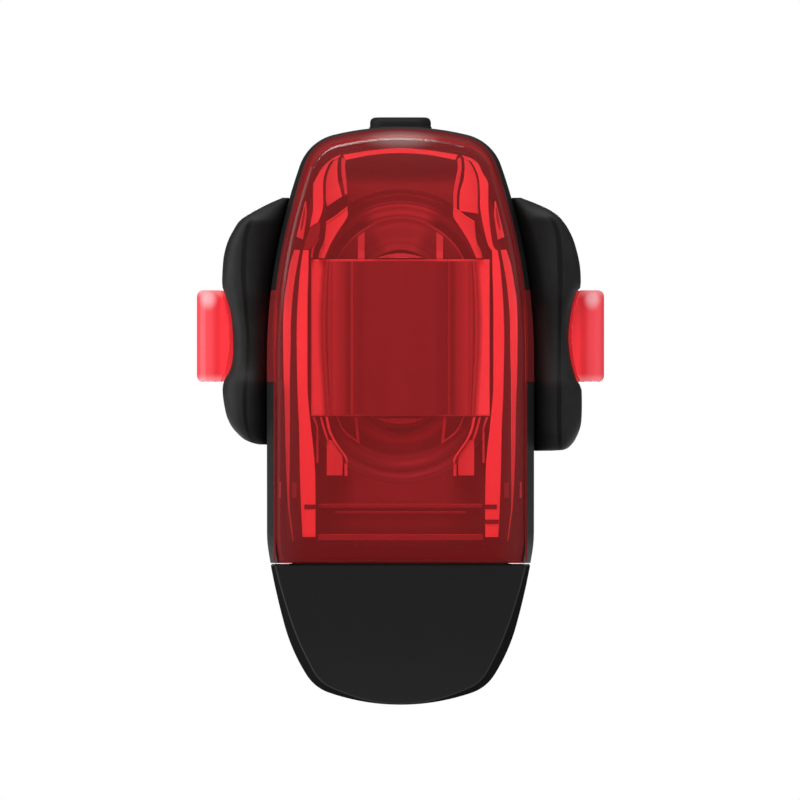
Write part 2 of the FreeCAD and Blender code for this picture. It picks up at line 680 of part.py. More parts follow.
def plug_tongue():
    half = TONGUE_WIDTH / 2
    front = tongue_front_y()
    return box(-half, half, front, front + TONGUE_T, PLUG_END_Z + TONGUE_END_GAP, PLUG_TOP_Z - PLUG_SHEET)


def plug_contacts():
    strips = []
    y = tongue_front_y() + TONGUE_T
    low = PLUG_END_Z + TONGUE_END_GAP + CONTACT_WIDTH
    for x in CONTACT_PITCHES:
        strips.append(box(x - CONTACT_WIDTH / 2, x + CONTACT_WIDTH / 2, y, y + CONTACT_T,
                          low, low + CONTACT_LENGTH))
    return Part.makeCompound(strips)


def plug_seal():
    x, y = PLUG_WIDTH / 2 + PLUG_SEAL_RIM, PLUG_T / 2 + PLUG_SEAL_RIM
    corners = rectangle(-x, x, PLUG_Y - y, PLUG_Y + y, PLUG_SEAL_RIM)
    seal = plan_prism(corners, NECK_BOTTOM_Z - PLUG_SEAL_T, NECK_BOTTOM_Z)
    return one_solid(seal.cut(plug_prism(0, NECK_BOTTOM_Z - FAR, NECK_BOTTOM_Z + 1)))


def neck_ring():
    band = box(-FAR, FAR, -FAR, FAR, RING_Z, RING_Z + RING_T)
    ring = body_core(CAP_WALL + RING_CLEAR).common(band)
    return one_solid(ring.cut(body_core(NECK_INSET + RING_SEAT)))


def end_cap():
    cap = OUTSIDE.common(below(CAP_TOP_Z))
    return one_solid(cap.cut(body_core(CAP_WALL)))


def rear_pad():
    half = PAD_HALF_WIDTH
    pad = front_prism(rectangle(-half, half, PAD_BOTTOM_Z, PAD_TOP_Z, PAD_CORNER_R), BACK_Y, 0)
    pad = pad.cut(Part.makeCylinder(SADDLE_R, FAR, V(0, 0, -FAR / 2)))
    for z in (PAD_STUD_Z, -PAD_STUD_Z):
        pad = pad.fuse(stud(z, PAD_STUD_R, PAD_STUD_DEPTH))
    return one_solid(pad.removeSplitter())


def button_bezel():
    bezel = outline_prism(0.0, 0, FRONT_Y).common(bezel_prism(0.0))
    bezel = bezel.common(above(CROWN_Z - BEZEL_T))
    return one_solid(bezel.cut(button_prism(FIT, 0, FAR)))


def power_button():
    flange_top = CROWN_Z - BEZEL_T - FIT
    stem_bottom = flange_top - BUTTON_FLANGE_T - BUTTON_STEM_L
    cap = button_prism(0, flange_top - BUTTON_FLANGE_T, BUTTON_TOP_Z)
    rim = [e for e in cap.Edges if e.BoundBox.ZMin > BUTTON_TOP_Z - 1e-6]
    cap = cap.makeChamfer(BUTTON_EDGE_BEVEL, rim)
    flange = button_prism(BUTTON_FLANGE, flange_top - BUTTON_FLANGE_T, flange_top)
    stem = Part.makeCylinder(BUTTON_STEM_R, BUTTON_STEM_L, V(0, BUTTON_Y, stem_bottom))
    return one_solid(fused([cap, flange, stem]))


def tangent_point(x, y, radius):
    """Where the line from (x, y) touches the circle about the post's axis, behind the light."""
    angle = math.atan2(y, x) + math.acos(radius / math.hypot(x, y))
    return V(radius * math.cos(angle), radius * math.sin(angle), 0)


def strap_ear():
    """The right ear and arm, where its plan, side and front outlines meet."""
    hug_x = HALF_WIDTH + STRAP_GAP
    inner_touch = tangent_point(hug_x, HOOK_BACK_Y, SADDLE_R)
    outer_touch = tangent_point(EAR_OUTER_X, EAR_BACK_Y, SADDLE_R + STRAP_T)
    plan = ((inner_touch.x, inner_touch.y, 0), (hug_x, HOOK_BACK_Y, 0), (EAR_INNER_X, HOOK_BACK_Y, 0),
            (EAR_INNER_X, EAR_FRONT_Y, 0), (EAR_OUTER_X, EAR_FRONT_Y, EAR_FRONT_ROUND),
            (EAR_OUTER_X, EAR_BACK_Y, EAR_HEEL_ROUND), (outer_touch.x, outer_touch.y, 0))
    side = ((EAR_FRONT_Y, EAR_TOP_Z, EAR_CORNER_R), (EAR_TAPER_Y, EAR_TOP_Z, EAR_TAPER_R),
            (BAND_FRONT_Y, BAND_TOP_Z, EAR_TAPER_R), (FAR, BAND_TOP_Z, 0), (FAR, BAND_BOTTOM_Z, 0),
            (BAND_FRONT_Y, BAND_BOTTOM_Z, EAR_TAPER_R), (EAR_TAPER_Y, EAR_BOTTOM_Z, EAR_TAPER_R),
            (EAR_FRONT_Y, EAR_BOTTOM_Z, EAR_CORNER_R))
    front = ((0, EAR_TOP_Z, 0), (EAR_CROWN_X, EAR_CROWN_Z, EAR_CROWN_R),
             (EAR_SHOULDER_X, EAR_SHOULDER_Z, EAR_SHOULDER_R), (EAR_OUTER_X, EAR_SIDE_TOP_Z, EAR_SIDE_R),
             (EAR_OUTER_X, EAR_SIDE_BOTTOM_Z, EAR_SIDE_R), (EAR_HIP_X, EAR_HIP_Z, EAR_HIP_R),
             (EAR_FOOT_X, EAR_BOTTOM_Z, EAR_FOOT_R), (0, EAR_BOTTOM_Z, 0))
    ear = plan_prism(plan, EAR_BOTTOM_Z - 1, EAR_TOP_Z + 1)
    ear = ear.common(side_prism(side, 0, FAR)).common(front_prism(front, -FAR, FAR))
    return ear.cut(outline_prism(-STRAP_GAP, HOOK_BACK_Y, -FAR))


def ear_openings():
    """The eyelet round the hook's neck and the scoop, open at both ends, that its lip lies in."""
    half = HOOK_HALF_HEIGHT + FIT
    eyelet = box(0, FAR, NECK_FRONT_Y - FIT, HOOK_BACK_Y + FIT, -half, half)
    scoop_r = LIP_BULGE_R + FIT
    scoop = cylinder_y(EAR_WAIST_X + scoop_r, 0, scoop_r, FAR, -FAR)
    return eyelet.fuse(scoop.common(box(0, FAR, -FAR, FAR, -half, half)))


def strap_half():
    """The right half of the strap: its ear, its arm and a quarter of the ring round the post."""
    ring = Part.makeCylinder(SADDLE_R + STRAP_T, BAND_TOP_Z - BAND_BOTTOM_Z, V(0, 0, BAND_BOTTOM_Z))
    ring = ring.cut(Part.makeCylinder(SADDLE_R, FAR, V(0, 0, -FAR / 2)))
    touch = tangent_point(HALF_WIDTH + STRAP_GAP, HOOK_BACK_Y, SADDLE_R)
    corner = (touch.x * FAR / POST_R, touch.y * FAR / POST_R, 0)
    ring = ring.common(plan_prism(((0, 0, 0), corner, (FAR, FAR, 0), (0, FAR, 0)), -FAR, FAR))
    return fused([strap_ear().cut(ear_openings()), ring])


def strap_free_arm():
    knuckle = Part.makeCylinder(STRAP_T / 2, BAND_TOP_Z - BAND_BOTTOM_Z, V(HINGE_X, HINGE_Y, BAND_BOTTOM_Z))
    return one_solid(strap_half().fuse(knuckle).removeSplitter())


def strap_band():
    """The left half, hollowed round the knuckle and cut square outside it so that the arm can swing."""
    gap = STRAP_T / 2 + FIT
    socket = Part.makeCylinder(gap, FAR, V(HINGE_X, HINGE_Y, -FAR / 2))
    socket = socket.fuse(box(HINGE_X - gap, FAR, HINGE_Y, FAR, -FAR, FAR))
    return one_solid(mirrored(strap_half()).cut(socket).removeSplitter())


NODES = {
    "rear_housing": rear_housing,
    "outer_lens": outer_lens,
    "lens_gasket": lens_gasket,
    "light_guide": light_guide,
    "wide_angle_optic": lens_block,
    "reflector": reflector,
    "circuit_board": circuit_board,
    "led_emitters": led_emitters,
    "driver_components": driver_components,
    "tact_switch": tact_switch,
    "board_screws": board_screws,
    "battery_cell": battery_cell,
    "battery_tape": battery_tape,
    "battery_tabs": battery_tabs,
    "usb_plug_shell": plug_shell,
    "usb_plug_tongue": plug_tongue,
    "usb_contacts": plug_contacts,
    "plug_seal": plug_seal,
    "neck_ring": neck_ring,
    "end_cap": end_cap,
    "button_bezel": button_bezel,
    "power_button": power_button,
    "rear_pad": rear_pad,
    "strap_band": strap_band,
    "strap_free_arm": strap_free_arm,
}

os.makedirs("parts", exist_ok=True)
for name, make in NODES.items():
    shape = make()
    assert shape.isValid(), name
    shape.exportStep(f"parts/{name}.step")
    print(name, len(shape.Solids), round(shape.Volume, 1))
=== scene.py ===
import bmesh
import bpy
import math
import numpy as np
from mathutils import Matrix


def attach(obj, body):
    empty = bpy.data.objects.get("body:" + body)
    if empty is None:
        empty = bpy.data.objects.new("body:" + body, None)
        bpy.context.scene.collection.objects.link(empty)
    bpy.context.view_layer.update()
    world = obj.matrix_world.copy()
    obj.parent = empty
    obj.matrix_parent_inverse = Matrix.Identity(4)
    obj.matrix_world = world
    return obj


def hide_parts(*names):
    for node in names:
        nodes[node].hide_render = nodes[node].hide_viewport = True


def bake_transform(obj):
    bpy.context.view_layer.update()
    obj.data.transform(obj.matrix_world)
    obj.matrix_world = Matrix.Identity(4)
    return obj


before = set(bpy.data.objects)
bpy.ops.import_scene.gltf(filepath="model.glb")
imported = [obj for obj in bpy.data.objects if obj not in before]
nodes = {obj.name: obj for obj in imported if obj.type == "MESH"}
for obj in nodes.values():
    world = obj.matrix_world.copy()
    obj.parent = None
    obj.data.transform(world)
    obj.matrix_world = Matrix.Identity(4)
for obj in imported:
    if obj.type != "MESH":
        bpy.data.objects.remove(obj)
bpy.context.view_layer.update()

# Rear housing: a deep tray injection moulded in black ABS, with a neck below it for the cap. Its mould was
# spark eroded, so the skin is satin, with a fine grain that spreads each highlight. It keeps its CAD shape.


def linear(code):
    """An sRGB hex colour as linear RGBA: each channel c becomes ((c + 0.055) / 1.055) ** 2.4, or c / 12.92
    where it is dark."""
    channels = [int(code[i:i + 2], 16) / 255 for i in (1, 3, 5)]
    return [c / 12.92 if c < 0.04045 else ((c + 0.055) / 1.055) ** 2.4 for c in channels] + [1.0]


def add_node(tree, kind, inputs=None, **settings):
    """Adds a shader node with its properties. Inputs gives each named socket a value, another node's socket
    to read, or another node, which is read by its first output."""
    node = tree.nodes.new("ShaderNode" + kind)
    for key, value in settings.items():
        setattr(node, key, value)
    for key, value in (inputs or {}).items():
        if isinstance(value, bpy.types.Node):
            value = value.outputs[0]
        if isinstance(value, bpy.types.NodeSocket):
            tree.links.new(value, node.inputs[key])
        else:
            node.inputs[key].default_value = value
    return node


def new_material(name):
    """A material without nodes, and its node tree."""
    material = bpy.data.materials.new(name)
    material.use_nodes = True
    material.node_tree.nodes.clear()
    return material, material.node_tree


def grained(name, dark, light, roughness, grain, depth, specular=0.5, sheen=0.0, mark=None):
    """A skin with a grain. Noise of the grain's size in millimetres lifts the bump by depth and shifts the
    gloss a little, and noise twenty times as coarse drifts the colour between its dark and light shades. A
    mark, the name of a number kept on each point and a colour, is laid over them."""
    material, tree = new_material(name)
    place = add_node(tree, "TexCoord").outputs["Object"]
    fine = add_node(tree, "TexNoise", {"Vector": place, "Scale": 1000 / grain, "Detail": 2.0})
    broad = add_node(tree, "TexNoise", {"Vector": place, "Scale": 50 / grain, "Detail": 3.0})
    colour = add_node(tree, "MixRGB", {"Fac": broad, "Color1": linear(dark), "Color2": linear(light)})
    if mark:
        line = add_node(tree, "Attribute", attribute_name=mark[0]).outputs["Fac"]
        colour = add_node(tree, "MixRGB", {"Fac": line, "Color1": colour, "Color2": linear(mark[1])})
    gloss = add_node(tree, "MapRange", {"Value": fine, "From Min": 0.3, "From Max": 0.7,
                                        "To Min": roughness - 0.05, "To Max": roughness + 0.05})
    bump = add_node(tree, "Bump", {"Height": fine, "Strength": 1.0, "Distance": depth * 0.001})
    surface = add_node(tree, "BsdfPrincipled", {
        "Base Color": colour, "Roughness": gloss, "Normal": bump, "IOR": 1.5, "Specular IOR Level": specular,
        "Sheen Weight": sheen, "Sheen Roughness": 0.4})
    add_node(tree, "OutputMaterial", {"Surface": surface})
    return material


def dress(name, material):
    """Gives a CAD node its material in every slot."""
    mesh = nodes[name].data
    mesh.materials.clear()
    mesh.materials.append(material)


# The real grain, about 0.03 mm, is too fine to show, so it is drawn at 0.12 mm. Each grain in the sections
# below is drawn as coarse as it needs to show, too.
dress("rear_housing", grained("black ABS, spark eroded", "#121313", "#181919", 0.45, 0.12, 0.006, 0.35))

# Battery: a lithium pouch cell in silver foil whose fine crinkles break up its shine, held to the housing by
# chalky white foam tape. Two smooth nickel strips are spot welded to it and bent forwards to the board.
dress("battery_cell", grained("aluminium laminate foil", "#a4a6a8", "#c6c8ca", 0.35, 0.6, 0.03))
dress("battery_tape", grained("white foam tape", "#d8d6cd", "#e8e6de", 0.9, 0.2, 0.02))
dress("battery_tabs", grained("rolled nickel strip", "#a9a59c", "#c2beb4", 0.3, 0.1, 0.002))

# Circuit board: glass resin under an even black solder mask, with dull driver chips soldered on the back and
# three LEDs with yellow phosphor on the front. Four bright plated screws hold it to the housing's bosses.
dress("circuit_board", grained("black solder mask", "#101412", "#181d1a", 0.4, 0.2, 0.004))
dress("driver_components", grained("epoxy chip bodies", "#141414", "#1e1e1e", 0.6, 0.1, 0.003))
dress("led_emitters", grained("LED ceramic and phosphor", "#cfc68a", "#e3dcae", 0.5, 0.1, 0.002))
dress("tact_switch", grained("tinned switch frame", "#8f9092", "#a9aaac", 0.3, 0.1, 0.002))
dress("board_screws", grained("zinc plated steel", "#8b8c8e", "#a2a3a5", 0.3, 0.1, 0.002))

# Reflector: a stepped bowl shaped like a racetrack round the LEDs, moulded in satin grey polycarbonate.
# Its steps carry painted light: painted highlights as bright rings on the steps at its top, and painted shade
# on those at its foot.
track_centre = 6.05


def shell(name, points, faces, material, corner, merge=False, **marks):
    """A mesh from points in millimetres, with its faces turned outwards. Marks are numbers kept on the points
    for the material to read, and too few of them are repeated in their order. Edges sharper than the corner,
    in degrees, stay sharp."""
    mesh = bpy.data.meshes.new(name)
    mesh.from_pydata((np.reshape(points, (-1, 3)) * 0.001).tolist(), [], faces)
    for mark, values in marks.items():
        values = np.resize(np.asarray(values, np.float32), len(mesh.vertices))
        mesh.attributes.new(mark, "FLOAT", "POINT").data.foreach_set("value", values)
    build = bmesh.new()
    build.from_mesh(mesh)
    if merge:
        bmesh.ops.remove_doubles(build, verts=build.verts, dist=1e-6)
    bmesh.ops.recalc_face_normals(build, faces=build.faces)
    build.to_mesh(mesh)
    build.free()
    mesh.polygons.foreach_set("use_smooth", np.ones(len(mesh.polygons), bool))
    mesh.set_sharp_from_angle(angle=math.radians(corner))
    mesh.materials.append(material)
    piece = bpy.data.objects.new(name, mesh)
    bpy.context.scene.collection.objects.link(piece)
    return piece


def ring_quads(index, closed_path=False):
    """Quads over a grid of point numbers: round each ring, from each ring to the next, and from the last ring
    to the first where the path is closed."""
    near = index if closed_path else index[:-1]
    far = np.roll(index, -1, axis=0)[:len(near)]
    return np.stack([near, np.roll(near, -1, axis=1), np.roll(far, -1, axis=1), far], axis=-1)


def skin(name, rings, material, closed_path=False, corner=35.0, body="light", **marks):
    """A closed shell from rings of points: neighbouring rings are joined by quads, and the first and last
    rings are filled, unless the path runs round to its start."""
    index = np.arange(rings.shape[0] * rings.shape[1]).reshape(rings.shape[:2])
    faces = ring_quads(index, closed_path).reshape(-1, 4).tolist()
    if not closed_path:
        faces += [index[0][::-1].tolist(), index[-1].tolist()]
    piece = shell(name, rings, faces, material, corner, **marks)
    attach(piece, body)
    return piece


def plastic_with_painted_light(name, dark, light, roughness):
    """Plastic with painted light and shade: its colour runs from dark to light by the number kept on each
    point, from 0 to 1, with a faint drift of 2 mm flow marks."""
    material, tree = new_material(name)
    place = add_node(tree, "TexCoord").outputs["Object"]
    level = add_node(tree, "Attribute", attribute_name="glint").outputs["Fac"]
    flow = add_node(tree, "TexNoise", {"Vector": place, "Scale": 1000 / 2, "Detail": 2.0})
    drift = add_node(tree, "MapRange", {"Value": flow, "To Min": 0.94, "To Max": 1.06})
    shade = add_node(tree, "Math", {0: level, 1: drift}, operation="MULTIPLY")
    colour = add_node(tree, "MixRGB", {"Fac": shade, "Color1": linear(dark), "Color2": linear(light)})
    surface = add_node(tree, "BsdfPrincipled", {"Base Color": colour, "Roughness": roughness, "IOR": 1.49})
    add_node(tree, "OutputMaterial", {"Surface": surface})
    return material


def racetrack(count):
    """Directions (x, z) round a circle, and 1 or -1 for the half circle, upper or lower, that each is on."""
    angle = np.linspace(0, 2 * math.pi, count, endpoint=False) + math.pi / count
    return np.stack([np.cos(angle), np.sin(angle)], axis=-1), np.sign(np.sin(angle))


def track_rings(out, half, reach, depth, centre=track_centre):
    """Points on the racetrack: each direction times its reach, from a centre that far above or below."""
    depth = np.broadcast_to(depth, (len(out), len(depth)))
    return np.stack([out[:, :1] * reach, depth, half[:, None] * centre + out[:, 1:] * reach], axis=-1)


# Each step: its reach from the half circles' centres, its depth, and its painted light above, beside and
# below
steps = np.array([
    (12.6, -28.6, 0.0, 0.0, 0.0), (12.6, -34.0, 0.27, 0.13, 0.33), (12.45, -34.0, 0.36, 0.16, 0.42),
    (12.25, -33.96, 0.24, 0.13, 0.33), (12.05, -33.92, 0.51, 0.2, 0.33), (11.9, -33.84, 0.44, 0.12, 0.33),
    (11.75, -33.8, 0.22, 0.1, 0.37), (11.6, -33.8, 0.2, 0.09, 0.4), (11.45, -33.76, 0.2, 0.08, 0.33),
    (11.25, -33.76, 0.2, 0.08, 0.2), (11.1, -33.76, 0.48, 0.1, 0.2), (10.98, -33.76, 0.34, 0.1, 0.22),
    (10.86, -33.72, 0.24, 0.12, 0.24), (10.72, -33.68, 0.85, 0.24, 0.26), (10.5, -33.6, 0.77, 0.24, 0.26),
    (10.35, -33.52, 0.51, 0.22, 0.31), (10.1, -33.44, 0.65, 0.18, 0.37), (9.9, -33.4, 0.77, 0.06, 0.37),
    (9.6, -33.36, 0.82, 0.04, 0.35), (9.45, -33.32, 0.51, 0.03, 0.37), (9.3, -33.28, 0.39, 0.02, 0.33),
    (9.15, -33.24, 0.59, 0.02, 0.18), (9.02, -33.2, 0.71, 0.05, 0.15), (8.92, -33.18, 0.41, 0.75, 0.15),
    (8.8, -33.16, 0.31, 0.72, 0.18), (8.68, -33.12, 0.34, 0.3, 0.18), (8.45, -33.04, 0.42, 0.28, 0.2),
    (8.2, -33.0, 0.59, 0.28, 0.24), (7.9, -32.96, 0.54, 0.26, 0.31), (7.6, -32.88, 0.48, 0.24, 0.48),
    (7.2, -32.84, 0.46, 0.22, 0.64), (6.9, -32.8, 0.46, 0.2, 0.53), (6.6, -32.8, 0.48, 0.2, 0.42),
    (6.3, -32.76, 0.53, 0.24, 0.33), (6.1, -32.76, 0.49, 0.24, 0.18), (5.9, -32.72, 0.41, 0.2, 0.2),
    (5.5, -32.68, 0.58, 0.3, 0.35), (5.0, -32.6, 0.61, 0.32, 0.44), (4.9, -28.6, 0.17, 0.1, 0.22)])
out, half = racetrack(200)
treads = np.repeat(steps[1:-1], 2, axis=0)[1:]
treads[1:, 1] = np.repeat(steps[1:-1, 1], 2)[:-2]
keep = np.append(True, np.hypot(np.diff(treads[:, 0]), np.diff(treads[:, 1])) > 1e-6)
reach, depth, top, beside, foot = np.vstack([steps[:1], treads[keep], steps[-1:]])[::-1].T
aside = np.clip((np.abs(out[:, :1]) - 0.28) / 0.25, 0, 1)
aside = aside ** 2 * (3 - 2 * aside)
bowl = skin("reflector_bowl", track_rings(out, half, reach, depth),
            plastic_with_painted_light("satin grey polycarbonate", "#050505", "#f2f2f2", 0.3), closed_path=True,
            glint=np.where(half[:, None] > 0, top * (1 - aside) + beside * aside, foot))
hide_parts("reflector")

# Light guide: one clear acrylic moulding that stands in front of the reflector, its plate frosted round a
# clear pane and carrying painted light and shade. Its polished ribs are painted bright as highlights where
# they
# would catch the daylight at their edges: an arch, shoulders, fins, feet and a sill.

# The depths of the guide's faces, the radii of the lens's outer and inner face, and a rib's least thickness
guide_front, guide_back = -34.9, -34.1
face_radius, lens_inside = 120.0, 118.7
thinnest = 0.15


def smooth_line(points, count):
    """Places on a Catmull-Rom curve through the points: each span blends its four neighbours by cubics."""
    points = np.asarray(points, float)
    p = np.vstack([2 * points[0] - points[1], points, 2 * points[-1] - points[-2]])
    t = np.linspace(0, len(points) - 1, count)
    i = np.minimum(t.astype(int), len(points) - 2)
    u = (t - i)[:, None]
    a, b, c, d = p[i], p[i + 1], p[i + 2], p[i + 3]
    return 0.5 * (2 * b + (c - a) * u + (2 * a - 5 * b + 4 * c - d) * u ** 2
                  + (3 * b - a - 3 * c + d) * u ** 3)


def face_depth(z, radius=face_radius):
    """The depth at height z of an arc about the height -8, which the faces of lens and cap share."""
    return 79.0 - np.sqrt(radius ** 2 - (z + 8.0) ** 2)


def body_side(counts):
    """The body's side from the height -3 up to the middle of the crown: a flat arc, a tight one and the
    crown's. Each place has its arc's centre (x, z) and radius, and its angle from the level."""
    centre = np.array([(-58.7, -3.0), (7.07, 19.77), (0.0, -9.23)])
    radius = np.array([75.7, 6.1, 35.95])
    ends = (0, 19.1, 76.3, 90)
    swing = [np.linspace(ends[i], ends[i + 1], counts[i])[i > 0:] for i in range(3)]
    arc = np.repeat([0, 1, 2], [len(part) for part in swing])
    return centre[arc], radius[arc], np.radians(np.concatenate(swing))


def rib(name, outer, inner, back, rise, level, side=1):
    """A rib between two curves in the front view, from the depth back up to the lens's inner wall less a
    rise. Its ring at each place is outer front, inner front, inner back, outer back, and a bevel of 0.08 mm
    rounds its edges. The level of its painted light and shade is one number, a pair from outer to inner, or a
    list from start to end."""
    count = 40
    columns = []
    for curve, at_front in ((outer, True), (inner, True), (inner, False), (outer, False)):
        line = smooth_line(curve, count)
        front = np.minimum(face_depth(line[:, 1], lens_inside) + rise, back - thinnest)
        columns.append(np.stack([side * line[:, 0], front if at_front else np.full(count, back), line[:, 1]],
                                axis=-1))
    if isinstance(level, tuple):
        level = level + level[::-1]
    elif isinstance(level, list):
        level = np.repeat(np.interp(np.linspace(0, 1, count), np.linspace(0, 1, len(level)), level), 4)
    piece = skin(name, np.stack(columns, axis=1), acrylic, glint=level)
    edge = piece.modifiers.new("edge", "BEVEL")
    edge.width, edge.segments, edge.limit_method = 0.00008, 2, "ANGLE"


# The ribs, the plate and the optic share this plastic, whose colour is painted light and shade
acrylic = plastic_with_painted_light("clear acrylic, polished", "#040404", "#ffffff", 0.12)

# The plate's outline keeps 2.5 mm inside the body's, and the mouth of its hole is the bowl's
mouth = 12.62
out, half = racetrack(240)
centre, radius, swing = body_side((20, 20, 20))
side_line = centre + (radius - 2.5)[:, None] * np.stack([np.cos(swing), np.sin(swing)], axis=-1) - (0, 0.6)
foot_line = np.stack([np.linspace(0, 14.3, 60), np.full(60, -26.0)], axis=-1)
wall_line = np.stack([np.full(60, 14.5), np.linspace(-25.8, -3.7, 60)], axis=-1)
edge_line = np.vstack([foot_line, wall_line, side_line])
edges = []
for centre in (track_centre, -track_centre):
    height = edge_line[:, 1] - centre
    edges.append(np.interp(np.arctan2(out[:, 1], np.abs(out[:, 0])), np.arctan2(height, edge_line[:, 0]),
                           np.hypot(edge_line[:, 0], height)))
edge = np.where(half > 0, *edges)[:, None]
share = np.concatenate([np.linspace(0, 1, 14), np.linspace(1, 0, 14)])
plate = track_rings(out, half, mouth + (edge - mouth) * share, np.repeat([guide_front, guide_back], 14))
width, height = np.abs(plate[..., 0]), plate[..., 2]
# The plate's painted light by height, and below the height -12 painted shade across its width
painted_light_by_height = np.interp(height, [-26.0, -24.9, -24.2, -23.0, -22.6, -21.9, -18.7, -14.0, 17.5, 19.2, 19.6, 20.2,
                             21.0, 23.6],
                    [0.06, 0.06, 0.1, 0.12, 0.15, 0.17, 0.16, 0.12, 0.13, 0.17, 0.1, 0.03, 0.0, 0.03])
painted_shade_by_width = np.interp(width, [0.0, 5.5, 8.5, 10.5, 11.5, 14.5], [1.0, 0.95, 0.4, 0.3, 0.9, 0.9])
web = skin("guide_plate", plate, acrylic, closed_path=True,
           glint=np.where(height < -12.0, painted_light_by_height * painted_shade_by_width, painted_light_by_height))
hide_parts("light_guide")

# The pane over the bowl's mouth is polished on both sides: only a thin gloss, with 1.4 mm haze, shows it
pane_acrylic, tree = new_material("clear acrylic pane")
place = add_node(tree, "TexCoord").outputs["Object"]
haze = add_node(tree, "TexNoise", {"Vector": place, "Scale": 700.0, "Detail": 2.0})
film = add_node(tree, "MapRange", {"Value": haze, "To Min": 0.04, "To Max": 0.08})
through = add_node(tree, "BsdfTransparent", {"Color": linear("#fafafa")})
gloss = add_node(tree, "BsdfPrincipled", {"Base Color": linear("#101010"), "Roughness": 0.08, "IOR": 1.49})
mixed = add_node(tree, "MixShader", {"Fac": film, 1: through, 2: gloss})
add_node(tree, "OutputMaterial", {"Surface": mixed})
reach, centre = np.array([(5.9, 4.2), (12.58, track_centre), (12.58, track_centre), (5.9, 4.2)]).T
rings = track_rings(out, half, reach, np.repeat([guide_front, guide_back], 2), centre)
pane = skin("guide_pane", rings, pane_acrylic, closed_path=True)

rib("guide_arch", [(-7.32, 23.12), (-3.63, 23.69), (0.0, 23.94), (3.63, 23.69), (7.32, 23.12)],
    [(-7.02, 22.42), (-3.63, 23.06), (0.0, 23.29), (3.63, 23.06), (7.02, 22.42)], guide_front, 0.4, 1.0)
for name, span, upper, lower, rise, level in (
        ("sill", 10.5, -25.22, -26.0, 0.8, 0.23), ("ledge", 10.5, -21.36, -21.9, 3.0, 0.2),
        ("ledge_low", 8.4, -22.3, -22.65, 3.2, 0.18)):
    rib(f"guide_{name}", [(-span, upper), (span, upper)], [(-span, lower), (span, lower)], guide_front, rise,
        level)
